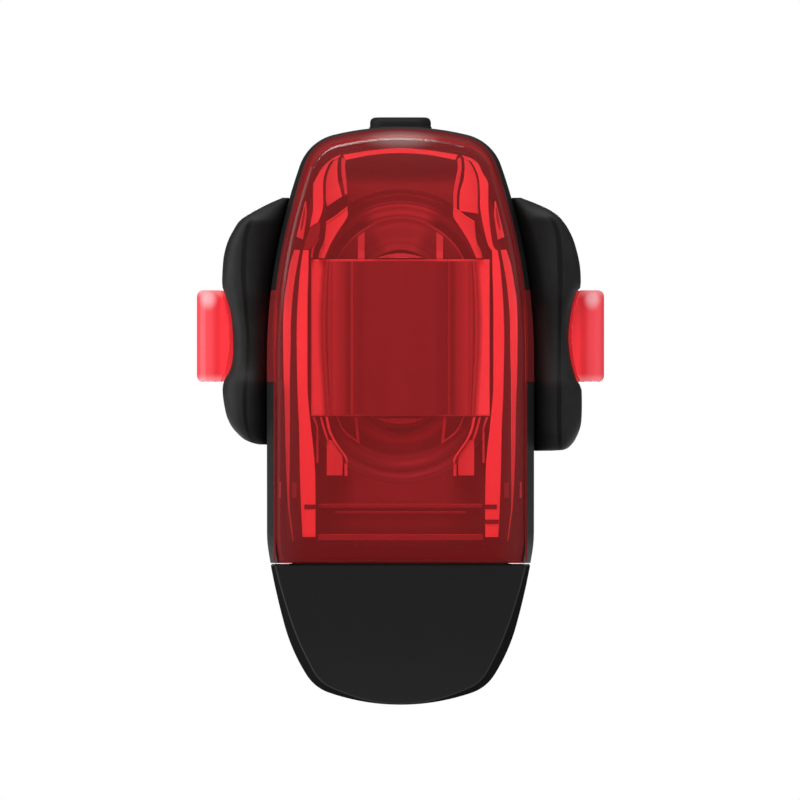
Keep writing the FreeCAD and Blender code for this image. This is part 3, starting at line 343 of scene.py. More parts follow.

# Each rib: its name, sides, painted light and rise, and its outer and its inner edge, by how far out and how
# high
ribs = (
    ("strip_b", "left right", 1.0, 0.4,
     [(12.37, 10.96), (12.68, 9.04), (12.87, 7.13), (13.06, 4.59), (13.18, 1.66), (13.2, -0.89),
      (13.12, -5.61), (13.06, -8.15), (12.89, -11.97), (12.8, -17.07), (12.68, -20.89), (12.48, -25.61)],
     [(11.66, 10.96), (11.71, 7.77), (11.81, 4.59), (11.82, -0.89), (11.81, -5.61), (11.73, -7.9),
      (11.4, -11.34), (11.04, -14.52), (10.85, -17.07), (10.79, -20.89), (10.79, -25.61)]),
    ("shoulder_edge", "left", 0.93, 0.4,
     [(7.58, 23.18), (8.47, 22.74), (9.11, 22.29), (10.0, 21.4), (10.89, 19.87), (11.15, 19.11),
      (11.15, 16.18), (11.34, 14.9), (11.55, 13.82)],
     [(7.71, 22.8), (8.28, 22.48), (8.85, 22.23), (9.36, 21.4), (9.75, 20.13), (9.85, 18.85), (9.82, 16.94),
      (10.0, 15.67), (10.45, 14.46)]),
    ("shoulder_edge", "right", 0.93, 0.4,
     [(7.83, 23.06), (8.85, 22.74), (9.87, 22.04), (10.51, 20.76), (11.15, 19.62), (11.21, 18.6),
      (11.21, 16.69), (11.4, 14.14), (11.78, 11.59), (12.29, 10.83)],
     [(7.96, 22.8), (8.47, 22.42), (8.98, 22.23), (9.62, 21.15), (10.0, 19.87), (10.13, 17.96),
      (10.13, 16.56), (10.38, 14.78), (10.7, 13.25), (11.15, 11.59), (11.66, 10.83)]),
    ("shoulder", "left", (0.66, 0.86), 0.5,
     [(8.6, 22.23), (9.04, 21.4), (9.41, 20.13), (9.49, 18.85), (9.49, 17.32), (9.3, 16.43)],
     [(7.92, 22.68), (8.05, 21.4), (7.96, 19.87), (7.64, 18.6), (7.43, 17.77), (7.32, 17.68)]),
    ("shoulder", "right", (0.72, 0.86), 0.5,
     [(8.79, 22.23), (9.36, 21.15), (9.77, 19.87), (9.87, 17.96), (9.85, 16.56), (9.94, 15.54)],
     [(8.09, 22.68), (8.18, 21.4), (8.03, 19.87), (7.64, 18.6), (7.5, 17.32), (7.53, 15.92)]),
    ("rail", "left", 0.68, 0.45,
     [(7.5, 22.8), (7.55, 21.4), (7.39, 19.87), (7.07, 17.96)],
     [(6.97, 22.55), (7.04, 21.4), (6.88, 19.87), (6.74, 18.09)]),
    ("rail", "right", 0.7, 0.45,
     [(7.73, 22.8), (7.8, 21.4), (7.58, 19.87), (7.26, 18.22), (7.2, 16.18)],
     [(7.22, 22.55), (7.29, 21.4), (7.01, 19.87), (6.74, 18.22), (6.74, 16.31)]),
    ("lower_shoulder", "left right", (0.72, 0.85), 0.6,
     [(9.46, 14.39), (9.54, 13.25), (9.67, 12.23), (10.0, 11.08), (10.25, 9.87)],
     [(6.74, 16.31), (6.76, 15.16), (7.71, 13.63), (8.79, 11.85), (9.67, 9.87)]),
    ("fold", "left right", 0.9, 0.45,
     [(9.46, 14.59), (8.28, 15.35), (6.74, 16.56)],
     [(9.46, 14.27), (8.22, 15.13), (6.74, 16.24)]),
    ("fold_left", "left", 0.5, 0.5,
     [(10.57, 12.61), (11.21, 11.34), (11.43, 9.94)],
     [(10.32, 12.48), (10.96, 11.21), (11.17, 9.94)]),
    ("fold_low", "left right", 0.6, 0.45,
     [(9.68, 11.85), (10.19, 10.96), (10.45, 9.94)],
     [(9.58, 11.72), (10.03, 10.83), (10.23, 9.87)]),
    ("fin_tip", "left right", (0.9, 0.75), 0.35,
     [(12.14, 17.2), (12.64, 15.16), (13.25, 12.61)],
     [(12.01, 17.2), (11.94, 15.29), (12.39, 12.23)]),
    ("fin_core", "left right", 0.3, 0.25,
     [(12.22, 16.43), (12.52, 14.9), (12.74, 13.5)],
     [(12.11, 16.43), (12.22, 14.9), (12.57, 13.5)]),
    ("fin", "left right", [0.9, 0.9, 0.95, 0.9, 0.75, 0.55, 0.45], 0.3,
     [(13.49, 10.96), (14.08, 9.04), (14.52, 6.5), (14.8, 4.59), (14.89, 2.04), (14.9, -0.89),
      (14.84, -5.61), (14.75, -8.15), (14.59, -15.92), (14.33, -21.4), (14.01, -24.08), (13.75, -26.11)],
     [(12.76, 10.96), (13.24, 8.41), (13.53, 6.5), (13.75, 4.59), (13.92, 2.04), (13.95, -0.89),
      (14.05, -5.61), (14.05, -8.15), (14.08, -15.92), (14.1, -21.4), (13.82, -24.08), (13.59, -26.11)]),
    ("foot", "left right", (0.78, 0.68), 2.0,
     [(9.39, -13.25), (9.39, -17.77)],
     [(8.56, -13.25), (7.96, -14.39), (7.38, -15.48), (7.38, -17.77)]),
    ("toe", "left right", 0.78, 2.0,
     [(7.12, -16.24), (7.12, -17.81)],
     [(6.74, -16.24), (6.74, -17.81)]),
    ("brace", "left right", 0.82, 1.6,
     [(9.54, -10.32), (9.2, -11.97), (8.6, -13.25), (7.83, -14.39), (7.22, -15.22), (6.94, -15.92),
      (6.94, -16.18)],
     [(9.24, -10.32), (8.88, -11.97), (8.31, -13.25), (7.55, -14.39), (6.94, -15.22), (6.73, -15.8),
      (6.73, -16.18)]),
    ("brace_outer", "left right", 0.62, 1.6,
     [(10.25, -10.32), (9.94, -11.59), (9.52, -12.87), (9.36, -13.25)],
     [(10.0, -10.32), (9.64, -11.59), (9.24, -12.87), (9.11, -13.25)]),
    ("brace_foot", "left right", 0.5, 1.6,
     [(11.2, -10.32), (10.76, -11.46), (10.64, -12.1)],
     [(10.87, -10.32), (10.51, -11.46), (10.43, -12.1)]),
    ("stay", "left right", 0.48, 1.8,
     [(10.71, -12.1), (10.71, -16.18)],
     [(10.43, -12.1), (10.43, -16.18)]),
    ("nick_low", "left right", 0.1, 0.3,
     [(12.23, -21.45), (12.23, -22.01)],
     [(10.74, -21.45), (10.74, -22.01)]),
    ("nick_lowest", "right", 0.12, 0.3,
     [(12.5, -23.36), (12.5, -23.9)],
     [(10.74, -23.36), (10.74, -23.9)]),
    # Two dark plates on the left shoulder are a painted dark reflection
    ("dark_reflection_upper", "left", 0.0, 0.3,
     [(9.49, 16.36), (8.22, 17.26), (7.32, 17.76), (6.71, 17.71)],
     [(9.49, 14.65), (8.22, 15.49), (7.32, 16.24), (6.71, 16.69)]),
    ("dark_reflection_middle", "left", 0.2, 0.3,
     [(11.46, 13.89), (11.97, 12.48), (12.36, 11.02)],
     [(10.19, 14.52), (10.38, 12.74), (11.46, 11.02)]),
    ("gate_mark_outer", "left right", 0.42, 1.0,
     [(15.45, -18.54), (15.45, -20.64)],
     [(15.17, -18.54), (15.17, -20.64)]),
    ("gate_mark", "left right", 0.24, 1.4,
     [(13.82, -18.66), (13.82, -20.64)],
     [(13.18, -18.66), (13.18, -20.64)]),)
hands = (("left", -1), ("right", 1))
for name, sides, level, rise, outer, inner in ribs:
    for hand, side in hands:
        if hand in sides:
            rib(f"guide_{name}_{hand}", outer, inner, guide_front, rise, level, side)

# The bowl's lowest steps show above and below the optic: the edges of the LEDs' windows and their lenses,
# with painted highlights and shade
window = -33.0
rib("bowl_lens_top", [(-2.85, 10.04), (-1.46, 10.39), (0.0, 10.55), (1.46, 10.39), (2.85, 10.04)],
    [(-2.85, 9.96), (0.0, 9.96), (2.85, 9.96)], window, 4.3, 1.0)
rib("bowl_lens_foot", [(-2.95, -10.50), (0.0, -10.47), (2.95, -10.50)],
    [(-2.95, -10.57), (-1.46, -11.03), (0.0, -11.20), (1.46, -11.03), (2.95, -10.57)], window, 5.6, 0.95)
rib("bowl_smile", [(-1.7, -11.59), (-1.21, -11.91), (0.0, -12.04), (1.21, -11.91), (1.7, -11.59)],
    [(-1.7, -11.91), (-1.21, -12.23), (0.0, -12.38), (1.21, -12.23), (1.7, -11.91)], window, 5.6, 0.07)
for hand, side in hands:
    rib(f"bowl_bar_top_{hand}", [(5.44, 12.68), (5.44, 9.81)], [(4.57, 13.31), (4.57, 9.81)], window, 4.1,
        1.0, side)
    rib(f"bowl_bar_foot_{hand}", [(5.9, -10.32), (5.54, -13.57)], [(5.49, -10.32), (5.18, -13.73)], window,
        5.5, 0.9, side)
    rib(f"bowl_edge_foot_{hand}", [(8.25, -10.2), (7.3, -12.2), (5.5, -13.6)],
        [(8.0, -10.2), (7.1, -12.0), (5.4, -13.35)], window, 5.5, 0.85, side)

# Wide angle optic: a polished clear acrylic block clipped over the guide. Its flat middle is painted dark
# for the tray seen through it, and the flutes at each side, which turn the light outwards, carry painted
# highlights and shade as bright and dark stripes.

# Each line down the block: how far out, its depth and its painted light
plan = np.array([
    (-11.38, -35.0, 0.85), (-11.38, -36.7, 0.9), (-11.3, -36.88, 0.9), (-11.0, -36.93, 1.0),
    (-10.6, -36.95, 1.0), (-10.4, -36.95, 0.78), (-10.2, -36.9, 0.5), (-10.0, -36.8, 0.33),
    (-9.9, -36.8, 0.28), (-9.8, -36.8, 0.36), (-9.7, -36.8, 0.42), (-9.55, -36.75, 0.3),
    (-9.42, -36.7, 0.12), (-9.25, -36.8, 0.22), (-9.12, -36.85, 0.36), (-8.8, -36.9, 0.28),
    (-8.45, -36.95, 0.39), (-8.2, -37.0, 0.36), (-7.7, -37.0, 0.3), (-7.2, -36.95, 0.25),
    (-6.9, -36.9, 0.16), (-6.5, -36.8, 0.11), (-6.32, -36.8, 0.18), (-6.22, -36.85, 0.3), (-6.1, -36.9, 0.3),
    (-5.98, -37.1, 0.16), (-5.86, -37.3, 0.1), (-5.6, -37.4, 0.12), (-4.9, -37.4, 0.12), (-4.3, -37.4, 0.15),
    (-2.0, -37.4, 0.15), (0.0, -37.4, 0.16)])
x, y, level = np.vstack([plan, plan[-2::-1] * (-1, 1, 1)]).T
bottom, top = -10.2, 9.75
heights = np.concatenate([[bottom, -10.14, -10.02], np.linspace(-9.9, 9.4, 27), [9.57, 9.69, top]])
inset = np.interp(heights, [bottom, -10.14, -10.02, 9.57, 9.69, top], [0.16, 0.05, 0.0, 0.0, 0.05, 0.16])
lean = np.interp(heights, [bottom, -7.5, -2.0, 0.5, 3.0, 7.0, top], [0.55, 0.4, 0.06, 0.0, 0.0, 0.18, 0.42])
loose = np.interp(np.abs(x), [9.0, 9.5, 10.6, 10.95], [0.0, 1.0, 1.0, 0.0]) * np.sign(x)
rings = np.stack([x - lean[:, None] * loose, y + inset[:, None] * (y < -35.5),
                  np.broadcast_to(heights[:, None], (len(heights), len(x)))], axis=-1)
# Painted highlights along the block's top and bottom edges, dimmer across the middle
rim = np.interp(heights, [bottom, -10.1, -9.95, 9.5, 9.6, top], [1.0, 0.8, 0.0, 0.0, 0.8, 1.0])[:, None]
rim = rim * np.where(heights[:, None] > 0, np.interp(np.abs(x), [4.0, 4.7], [0.42, 0.9]),
                     np.interp(np.abs(x), [4.8, 5.5], [0.35, 0.58]))
block = skin("wide_angle_block", rings, acrylic, corner=50.0, glint=np.maximum(level, rim))
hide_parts("wide_angle_optic")

# Lens: red polycarbonate, moulded in one piece with the two strap hooks and polished. It lets through the red
# of what lies behind it, is deep red itself, and mirrors the room on its skin. A pale painted reflection lies
# at the crown, the hooks are paler towards their rims and carry painted highlights, and a painted glow lights
# their necks.
painted_reflection_place = (0.0, -0.0385, 0.0252)
painted_highlight_place = (0.0245, 0.0, 0.0049)
hook_red = linear("#ec2f38")
red, tree = new_material("red polycarbonate, polished")
place = add_node(tree, "TexCoord").outputs["Object"]
axes = add_node(tree, "SeparateXYZ", {"Vector": place})
across = add_node(tree, "Math", {0: axes.outputs["X"]}, operation="ABSOLUTE")

# Over the body: faint flow marks of 4 mm, a little paler towards its long edges, and a pale painted
# reflection at the crown
flow = add_node(tree, "TexNoise", {"Vector": place, "Scale": 1000 / 4, "Detail": 2.0})
border = add_node(tree, "MapRange", {"Value": across, "From Min": 0.0122, "From Max": 0.0148})
streak = add_node(tree, "Math", {0: flow, 1: 0.25, 2: border}, operation="MULTIPLY_ADD")
body = add_node(tree, "MixRGB", {"Fac": streak, "Color1": linear("#bd2b2d"), "Color2": linear("#bb4042")})
centred = add_node(tree, "VectorMath", {0: place, 1: painted_reflection_place}, operation="SUBTRACT")
flat = add_node(tree, "VectorMath", {0: centred, 1: (0.28, 0.25, 1.0)}, operation="MULTIPLY")
away = add_node(tree, "VectorMath", {0: flat}, operation="LENGTH").outputs["Value"]
painted_reflection = add_node(tree, "MapRange", {"Value": away, "From Min": 0.0004, "From Max": 0.0017, "To Min": 0.7,
                                    "To Max": 0.0}, interpolation_type="SMOOTHSTEP")
body = add_node(tree, "MixRGB", {"Fac": painted_reflection, "Color1": body, "Color2": linear("#f5c9c2")})

# The hooks: paler towards the rim, with a painted highlight at the upper corner and painted highlights
# along both lips
hook = add_node(tree, "MapRange", {"Value": across, "From Min": 0.0196, "From Max": 0.0199})
rim = add_node(tree, "MapRange", {"Value": across, "From Min": 0.0234, "From Max": 0.0243},
               interpolation_type="SMOOTHSTEP")
glow = add_node(tree, "MixRGB", {"Fac": rim, "Color1": hook_red, "Color2": linear("#f24a54")})
mirrored = add_node(tree, "CombineXYZ", {"X": across, "Z": axes.outputs["Z"]})
centred = add_node(tree, "VectorMath", {0: mirrored, 1: painted_highlight_place}, operation="SUBTRACT")
flat = add_node(tree, "VectorMath", {0: centred, 1: (1.5, 0.0, 1.1)}, operation="MULTIPLY")
away = add_node(tree, "VectorMath", {0: flat}, operation="LENGTH").outputs["Value"]
painted_highlight = add_node(tree, "MapRange", {"Value": away, "From Min": 0.0003, "From Max": 0.0021, "To Min": 0.6,
                                    "To Max": 0.0}, interpolation_type="SMOOTHSTEP")
height = add_node(tree, "Math", {0: axes.outputs["Z"]}, operation="ABSOLUTE")
lip = add_node(tree, "MapRange", {"Value": height, "From Min": 0.0047, "From Max": 0.0058, "To Min": 0.0,
                                  "To Max": 0.35}, interpolation_type="SMOOTHSTEP")
pale = add_node(tree, "Math", {0: painted_highlight, 1: lip}, operation="MAXIMUM")
glow = add_node(tree, "MixRGB", {"Fac": pale, "Color1": glow, "Color2": linear("#f7d2d6")})

# Over the body a quarter of the red is solid and the rest shows what is behind, in the hooks nine tenths are
shade = add_node(tree, "MixRGB", {"Fac": hook, "Color1": body, "Color2": glow})
surface = add_node(tree, "BsdfDiffuse", {"Color": shade})
through = add_node(tree, "BsdfTransparent", {"Color": linear("#fb4b53")})
solid = add_node(tree, "MapRange", {"Value": hook, "To Min": 0.25, "To Max": 0.9})
mixed = add_node(tree, "MixShader", {"Fac": solid, 1: through, 2: surface})

# The polish mirrors by its Fresnel share, less at the foot, the crown and the long edges, which face the dark
foot = add_node(tree, "MapRange", {"Value": axes.outputs["Z"], "From Min": -0.028, "From Max": -0.0268,
                                   "To Min": 0.1, "To Max": 0.65})
crown = add_node(tree, "MapRange", {"Value": axes.outputs["Z"], "From Min": 0.023, "From Max": 0.0245,
                                    "To Min": 0.65, "To Max": 0.38})
front = add_node(tree, "Math", {0: foot, 1: crown}, operation="MINIMUM")
edges = add_node(tree, "MapRange", {"Value": across, "From Min": 0.0146, "From Max": 0.0152, "To Min": front,
                                    "To Max": 0.12})
clean = add_node(tree, "MapRange", {"Value": hook, "To Min": edges, "To Max": 0.6})
fresnel = add_node(tree, "Fresnel", {"IOR": 1.58})
mirror = add_node(tree, "Math", {0: fresnel, 1: clean}, operation="MULTIPLY")
polish = add_node(tree, "BsdfGlossy", {"Color": (1, 1, 1, 1), "Roughness": 0.12})
skinned = add_node(tree, "MixShader", {"Fac": mirror, 1: mixed, 2: polish})

# A painted glow, an emission, lifts the necks of the hooks a little where they lie in shade. Inner walls and
# shadows are left clear, so that each wall tints once and the daylight reaches the guide.
neck = add_node(tree, "MapRange", {"Value": across, "From Min": 0.0233, "From Max": 0.0226, "To Max": 0.3},
                interpolation_type="SMOOTHSTEP")
neck = add_node(tree, "Math", {0: neck, 1: hook}, operation="MULTIPLY")
painted_glow = add_node(tree, "Emission", {"Color": hook_red, "Strength": neck})
skinned = add_node(tree, "AddShader", {0: skinned, 1: painted_glow})
clear = add_node(tree, "BsdfTransparent", {"Color": (1, 1, 1, 1)})
inner = add_node(tree, "NewGeometry").outputs["Backfacing"]
walls = add_node(tree, "MixShader", {"Fac": inner, 1: skinned, 2: clear})
shadow = add_node(tree, "LightPath").outputs["Is Shadow Ray"]
cast = add_node(tree, "MixShader", {"Fac": shadow, 1: walls, 2: clear})
add_node(tree, "OutputMaterial", {"Surface": cast})
dress("outer_lens", red)

# Lens lip: the lens's edge, moulded with it, laps over the housing's bevel, broadest at the crown, and shows
# the same red. Its ring at each place has seven points, inset from the body's outline and off its face's arc.

# The number of places down the straight side, the housing's bevel, and how far in the lip ends
straight = 40
bevel_width, bevel_slope = 1.05, 3.33
lip_end = 1.13
centre, radius, swing = body_side((31, 31, 16))
swing = np.concatenate([np.zeros(straight), swing])
upright = np.stack([np.full(straight, centre[0, 0]), np.linspace(-28.6, -3.2, straight)], axis=-1)
centre, radius = np.vstack([upright, centre]), np.concatenate([np.full(straight, radius[0]), radius])
height = centre[:, 1] + radius * np.sin(swing)
start = np.interp(height, [-28, -6, 4, 18, 22, 25.5, 26.7], [0.9, 0.88, 0.62, 0.6, 0.52, 0.34, 0.26])
under = np.interp(height, [14, 25], [0.02, 0.4])
half = []
for part, more, lift in ((0.0, 0, -0.03), (0.1, 0, -0.22), (0.75, 0, -0.36), (1.0, 0, -0.35), (1.0, 1, -0.35),
                         (1.0, 1, 0.06), (0.85, 0, -0.04)):
    inset = start + (lip_end - start) * part + under * more
    x = centre[:, 0] + (radius - inset) * np.cos(swing)
    z = centre[:, 1] + (radius - inset) * np.sin(swing)
    y = face_depth(z) + bevel_slope * (bevel_width - inset).clip(0) + lift
    half.append(np.stack([x, y, z], axis=-1))
half = np.stack(half, axis=1)
lip = skin("lens_lip", np.concatenate([half, half[-2::-1] * (-1, 1, 1)]), red)

# Seals: the gasket under the lens, the collar round the plug and the ring on the neck, moulded in black
# silicone that looks matt, with a faint bloom at its edges.
seal_rubber = grained("black silicone seal", "#121212", "#1a1a1a", 0.6, 0.1, 0.003, sheen=0.1)
for name in ("lens_gasket", "plug_seal", "neck_ring"):
    dress(name, seal_rubber)

# Charging plug: a folded steel shell, bright with its nickel plating, round a moulded white nylon tongue with
# four gilt contacts.
dress("usb_plug_shell", grained("nickel plated steel", "#9c9a94", "#b4b2ac", 0.25, 0.3, 0.002))
dress("usb_plug_tongue", grained("white nylon tongue", "#dcdcd8", "#e8e8e4", 0.5, 0.1, 0.002))
dress("usb_contacts", grained("gilt contacts", "#c9a24a", "#dcb55c", 0.3, 0.1, 0.002))

# End cap: a cup moulded in black ABS that pulls straight down off the neck. Its face was spark eroded like
# the housing and is satin; the bevel round it was left smooth by the mould, is a shade lighter and mirrors
# nothing, and has a fine painted highlight along its edge.

# The rim's height, the wall, the bevel's slope and how far the groove under the painted edge highlight
# reaches; then the depths where the side ends, of the back and of the hollow's end, and the radius that joins
# side and back
rim, wall, slope, crease = -29.2, 2.3, 3.3, 0.18
knee, heel, hollow_end, heel_radius = -21.0, -16.0, -18.3, 5.0


def cap_line(inset, share=1.0, count=60):
    """The cap's outline moved inwards, from the left end of its rim round the foot to the right end, cut
    level at the rim, and each place's share of the way from foot to start. It starts 17 mm out at the height
    -25 and follows arcs given as radius and end angle; the last one is centred on the middle. The share draws
    it towards the middle of the rim."""
    x, z, angle, rows = 17.0, -25.0, 0.0, []
    for radius, last in ((15.8, 9.3), (94.5, 15.1), (23.3, 32.3), (5.4, 71.3), (0, 90.0)):
        last = math.radians(last)
        radius = radius or x / math.cos(angle)
        turn = np.linspace(angle, last, 80)
        middle = x - radius * math.cos(angle), z + radius * math.sin(angle)
        rows.append(np.stack([middle[0] + radius * np.cos(turn), middle[1] - radius * np.sin(turn), turn],
                             axis=-1))
        x, z, angle = rows[-1][-1]
    x, z, turn = np.concatenate(rows).T
    length = np.concatenate([[0], np.cumsum(np.hypot(np.diff(x), np.diff(z)))])
    place = 1 - length / length[-1]
    inset = inset(place) if callable(inset) else inset
    x, z = x - inset * np.cos(turn), z + inset * np.sin(turn)
    low = z < rim
    place = np.append(np.interp(rim, z[::-1], place[::-1]), place[low])
    x, z = np.append(np.interp(rim, z[::-1], x[::-1]), x[low]), np.append(rim, z[low])
    length = np.concatenate([[0], np.cumsum(np.hypot(np.diff(x), np.diff(z)))])
    x, z, place = (np.interp(np.linspace(0, length[-1], count), length, values) for values in (x, z, place))
    x, z, place = np.append(-x, x[-2::-1]), np.append(z, z[-2::-1]), np.append(place, place[-2::-1])
    return share * x, rim + share * (z - rim), place


def bevel(share, more=0.0):
    """The bevel's width from the middle of the foot, share 0, to the rim, share 1, with more added to it."""
    line = smooth_line([(0.0, 0.25), (0.12, 0.35), (0.28, 0.85), (0.42, 1.2), (0.55, 1.22), (0.7, 0.95),
                        (0.86, 0.65), (1.0, 0.5)], 100)
    return np.interp(share, line[:, 0], line[:, 1]) + more


outer, inner, polish = [], [], []


def cap_row(inset, depth, smooth_and_highlight=0.0, share=1.0):
    """Adds a line round the outside and its polish: 0 on the face, 0.5 on the smooth bevel and 1 for the
    painted highlight along its edge. Its depth is a number, or worked out from its heights and shares."""
    x, z, place = cap_line(inset, share)
    outer.append((x, depth(z, place) if callable(depth) else np.full(len(x), depth), z))
    polish.append(smooth_and_highlight)


for share in np.concatenate([np.linspace(0, 0.97, 12), [1.0]]):
    cap_row(lambda s: bevel(s, 0.1), lambda z, s: face_depth(z), share=share)
    x, z, _ = cap_line(wall, share)
    inner.append((x, face_depth(z, face_radius - wall), z))
for drop, sunk, smooth_and_highlight in ((0.0, 0.0, 1.0), (-0.13, 0.05, 1.0), (-crease, 0.05, 0.5)):
    cap_row(lambda s: bevel(s, drop), lambda z, s: face_depth(z) - slope * drop - sunk, smooth_and_highlight)
for part in (0.6, 0.0):
    cap_row(lambda s: bevel(s, -crease) * part,
            lambda z, s: face_depth(z) + slope * (bevel(s) - bevel(s, -crease) * part), 0.5)
for part in (0.01, 0.33, 0.67, 1.0):
    cap_row(0.0, lambda z, s: (face_depth(z) + slope * bevel(s)) * (1 - part) + knee * part)
for turn in np.radians(np.linspace(7.5, 90, 12)):
    cap_row(heel_radius * (1 - math.cos(turn)), knee + heel_radius * math.sin(turn))
closing = np.linspace(0.9, 0, 6)
for share in closing:
    cap_row(heel_radius, heel, share=share)
x, z, _ = cap_line(wall)
for part in np.linspace(0, 1, len(outer) - len(inner) - len(closing) + 1)[1:]:
    inner.append((x, face_depth(z, face_radius - wall) * (1 - part) + hollow_end * part, z))
for share in closing:
    x, z, _ = cap_line(wall, share)
    inner.append((x, np.full(len(x), hollow_end), z))
outer, inner = np.array(outer).transpose(0, 2, 1), np.array(inner).transpose(0, 2, 1)[:, ::-1]
rings = np.concatenate([outer, inner], axis=1)
smooth_and_highlight = np.zeros(rings.shape[:2])
smooth_and_highlight[:, :outer.shape[1]] = np.array(polish)[:, None]

# The face's grain is drawn at 0.125 mm, coarser than the real one, so that it shows
cap_abs, tree = new_material("black ABS cap, eroded face and smooth bevel")
place = add_node(tree, "TexCoord").outputs["Object"]
level = add_node(tree, "Attribute", attribute_name="polish").outputs["Fac"]
grain = add_node(tree, "TexNoise", {"Vector": place, "Scale": 1000 / 0.125, "Detail": 2.0})
broad = add_node(tree, "TexNoise", {"Vector": place, "Scale": 1000 / 2.5, "Detail": 3.0})
face = add_node(tree, "MixRGB", {"Fac": broad, "Color1": linear("#121213"), "Color2": linear("#161617")})
# Polish 0.5 makes the bevel a shade lighter and smooth, without mirror; 1 paints a pale highlight on its edge
bright = add_node(tree, "MapRange", {"Value": level, "From Min": 0.5, "From Max": 1.0})
smooth = add_node(tree, "MapRange", {"Value": level, "From Min": 0.0, "From Max": 0.5})
dark = add_node(tree, "MixRGB", {"Fac": smooth, "Color1": face, "Color2": linear("#1b1b1c")})
edge = add_node(tree, "MixRGB", {"Fac": bright, "Color1": dark, "Color2": linear("#3a3a3b")})
gloss = add_node(tree, "MapRange", {"Value": smooth, "To Min": 0.5, "To Max": 0.4})
mirror = add_node(tree, "MapRange", {"Value": smooth, "To Min": 0.3, "To Max": 0.0})
bump = add_node(tree, "Bump", {"Height": grain, "Strength": 1.0, "Distance": 0.000005})
surface = add_node(tree, "BsdfPrincipled", {"Base Color": edge, "Roughness": gloss, "Normal": bump,
                                            "IOR": 1.5, "Specular IOR Level": mirror})
add_node(tree, "OutputMaterial", {"Surface": surface})
quads = ring_quads(np.arange(smooth_and_highlight.size).reshape(smooth_and_highlight.shape))
cap = shell("cap", rings, quads.reshape(-1, 4).tolist(), cap_abs, 12, merge=True, polish=smooth_and_highlight)
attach(cap, "cap")
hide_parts("end_cap")

# Power button and its bezel: a moulded silicone key, with a flange and a stem below, in a frame at the crown.
# The key is matt and takes hardly any highlight; the frame is black ABS left satin by its mould.
dress("button_bezel", grained("black ABS bezel, satin", "#0c0c0c", "#111111", 0.35, 0.12, 0.004, 0.3))

# The depth of the key's middle, and each of its levels: half its width and depth, the radius of its corners,
# and its height
key_middle = -25.65
levels = np.array([
    (1.5, 1.5, 1.5, 22.92), (1.5, 1.5, 1.5, 23.52), (5.0, 5.2, 2.8, 23.52), (5.0, 5.2, 2.8, 24.22),
    (4.0, 4.2, 1.8, 24.22), (4.0, 4.2, 1.8, 26.7), (3.95, 4.15, 1.75, 26.78), (3.9, 4.1, 1.7, 26.82),
    (3.9, 4.1, 1.7, 27.3), (3.86, 4.06, 1.66, 27.55), (3.74, 3.94, 1.54, 27.77), (3.55, 3.75, 1.35, 27.92),
    (3.3, 3.5, 1.2, 28.0), (2.6, 2.8, 1.0, 27.95)])[:, None]
turn = np.linspace(0, 2 * math.pi, 96, endpoint=False) + math.pi / 96
side = np.stack([np.cos(turn), np.sin(turn)], axis=-1)
plan = (levels[..., :2] - levels[..., 2:3]) * np.sign(side) + levels[..., 2:3] * side
rings = np.concatenate([plan, np.broadcast_to(levels[..., 3:], plan.shape[:2] + (1,))], axis=-1)
key_rubber = grained("black silicone key", "#171717", "#1b1b1b", 0.6, 0.1, 0.004, 0.15)
button = skin("silicone_key", rings + (0, key_middle, 0), key_rubber, body="button")
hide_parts("power_button")

# Rear pad: a saddle moulded in black rubber that sits between the housing and the seat post. It is matt and a
# little rough, so it looks greyer than the housing.
dress("rear_pad", grained("black pad rubber", "#171717", "#202020", 0.65, 0.15, 0.01, sheen=0.15))

# Strap: moulded in one piece in black silicone rubber, dull and soft looking. The band goes round the post
# and swells beside the light into two thick ears, each with an eyelet that is pulled over a hook. A dark
# parting line runs down each ear's crest, and painted shade darkens each ear where it lies against the body.

# The band's radius, half its thickness, the height of its middle and half its width; half the eyelet's height
# and the notch round the hook, an arc whose centre lies that far out; the depths of the ear, and its rows
band_radius, band_half, band_height, band_reach = 15.45, 1.75, 2.0, 10.0
eyelet, notch_centre, notch_radius, notch_half = 6.15, 38.08, 16.6, 6.0
ear_back, eyelet_front, ear_front, nose_height = -20.7, -27.3, -34.2, 2.8
round_rows, arm_rows, eyelet_rows, front_rows = 36, 25, 7, 6
nose_turn = np.append(np.linspace(0, math.pi / 2, 15)[1:-1], (1.5, 1.53, 1.551, math.pi / 2))[:, None]


def ear_section(points, top, bottom):
    """Outer and inner edge of an ear at shared heights: the outer is the measured outline, cut back round the
    hook; the inner keeps 0.02 mm off the body, whose half width is 17 less (z + 3) squared over 151.4 above
    the height -3."""
    low = bottom + (-eyelet - bottom) * (1 - np.cos(np.linspace(0, math.pi / 2, 20)))
    middle = np.linspace(-eyelet, eyelet, 27)[1:-1]
    high = eyelet + (top - eyelet) * np.sin(np.linspace(0, math.pi / 2, 28))
    z = np.concatenate([low, middle, high])
    line = smooth_line(points, 400)
    outer = np.interp(z, line[:, 1], line[:, 0])
    notch = notch_centre - np.sqrt(notch_radius ** 2 - np.clip(z, -notch_half, notch_half) ** 2)
    outer = np.where(np.abs(z) < notch_half, np.minimum(outer, notch), outer)
    inner = 17.02 - np.maximum(z + 3, 0) ** 2 / 151.4
    inner[0], inner[-1] = outer[0], outer[-1]
    return np.minimum(inner, outer), outer, z


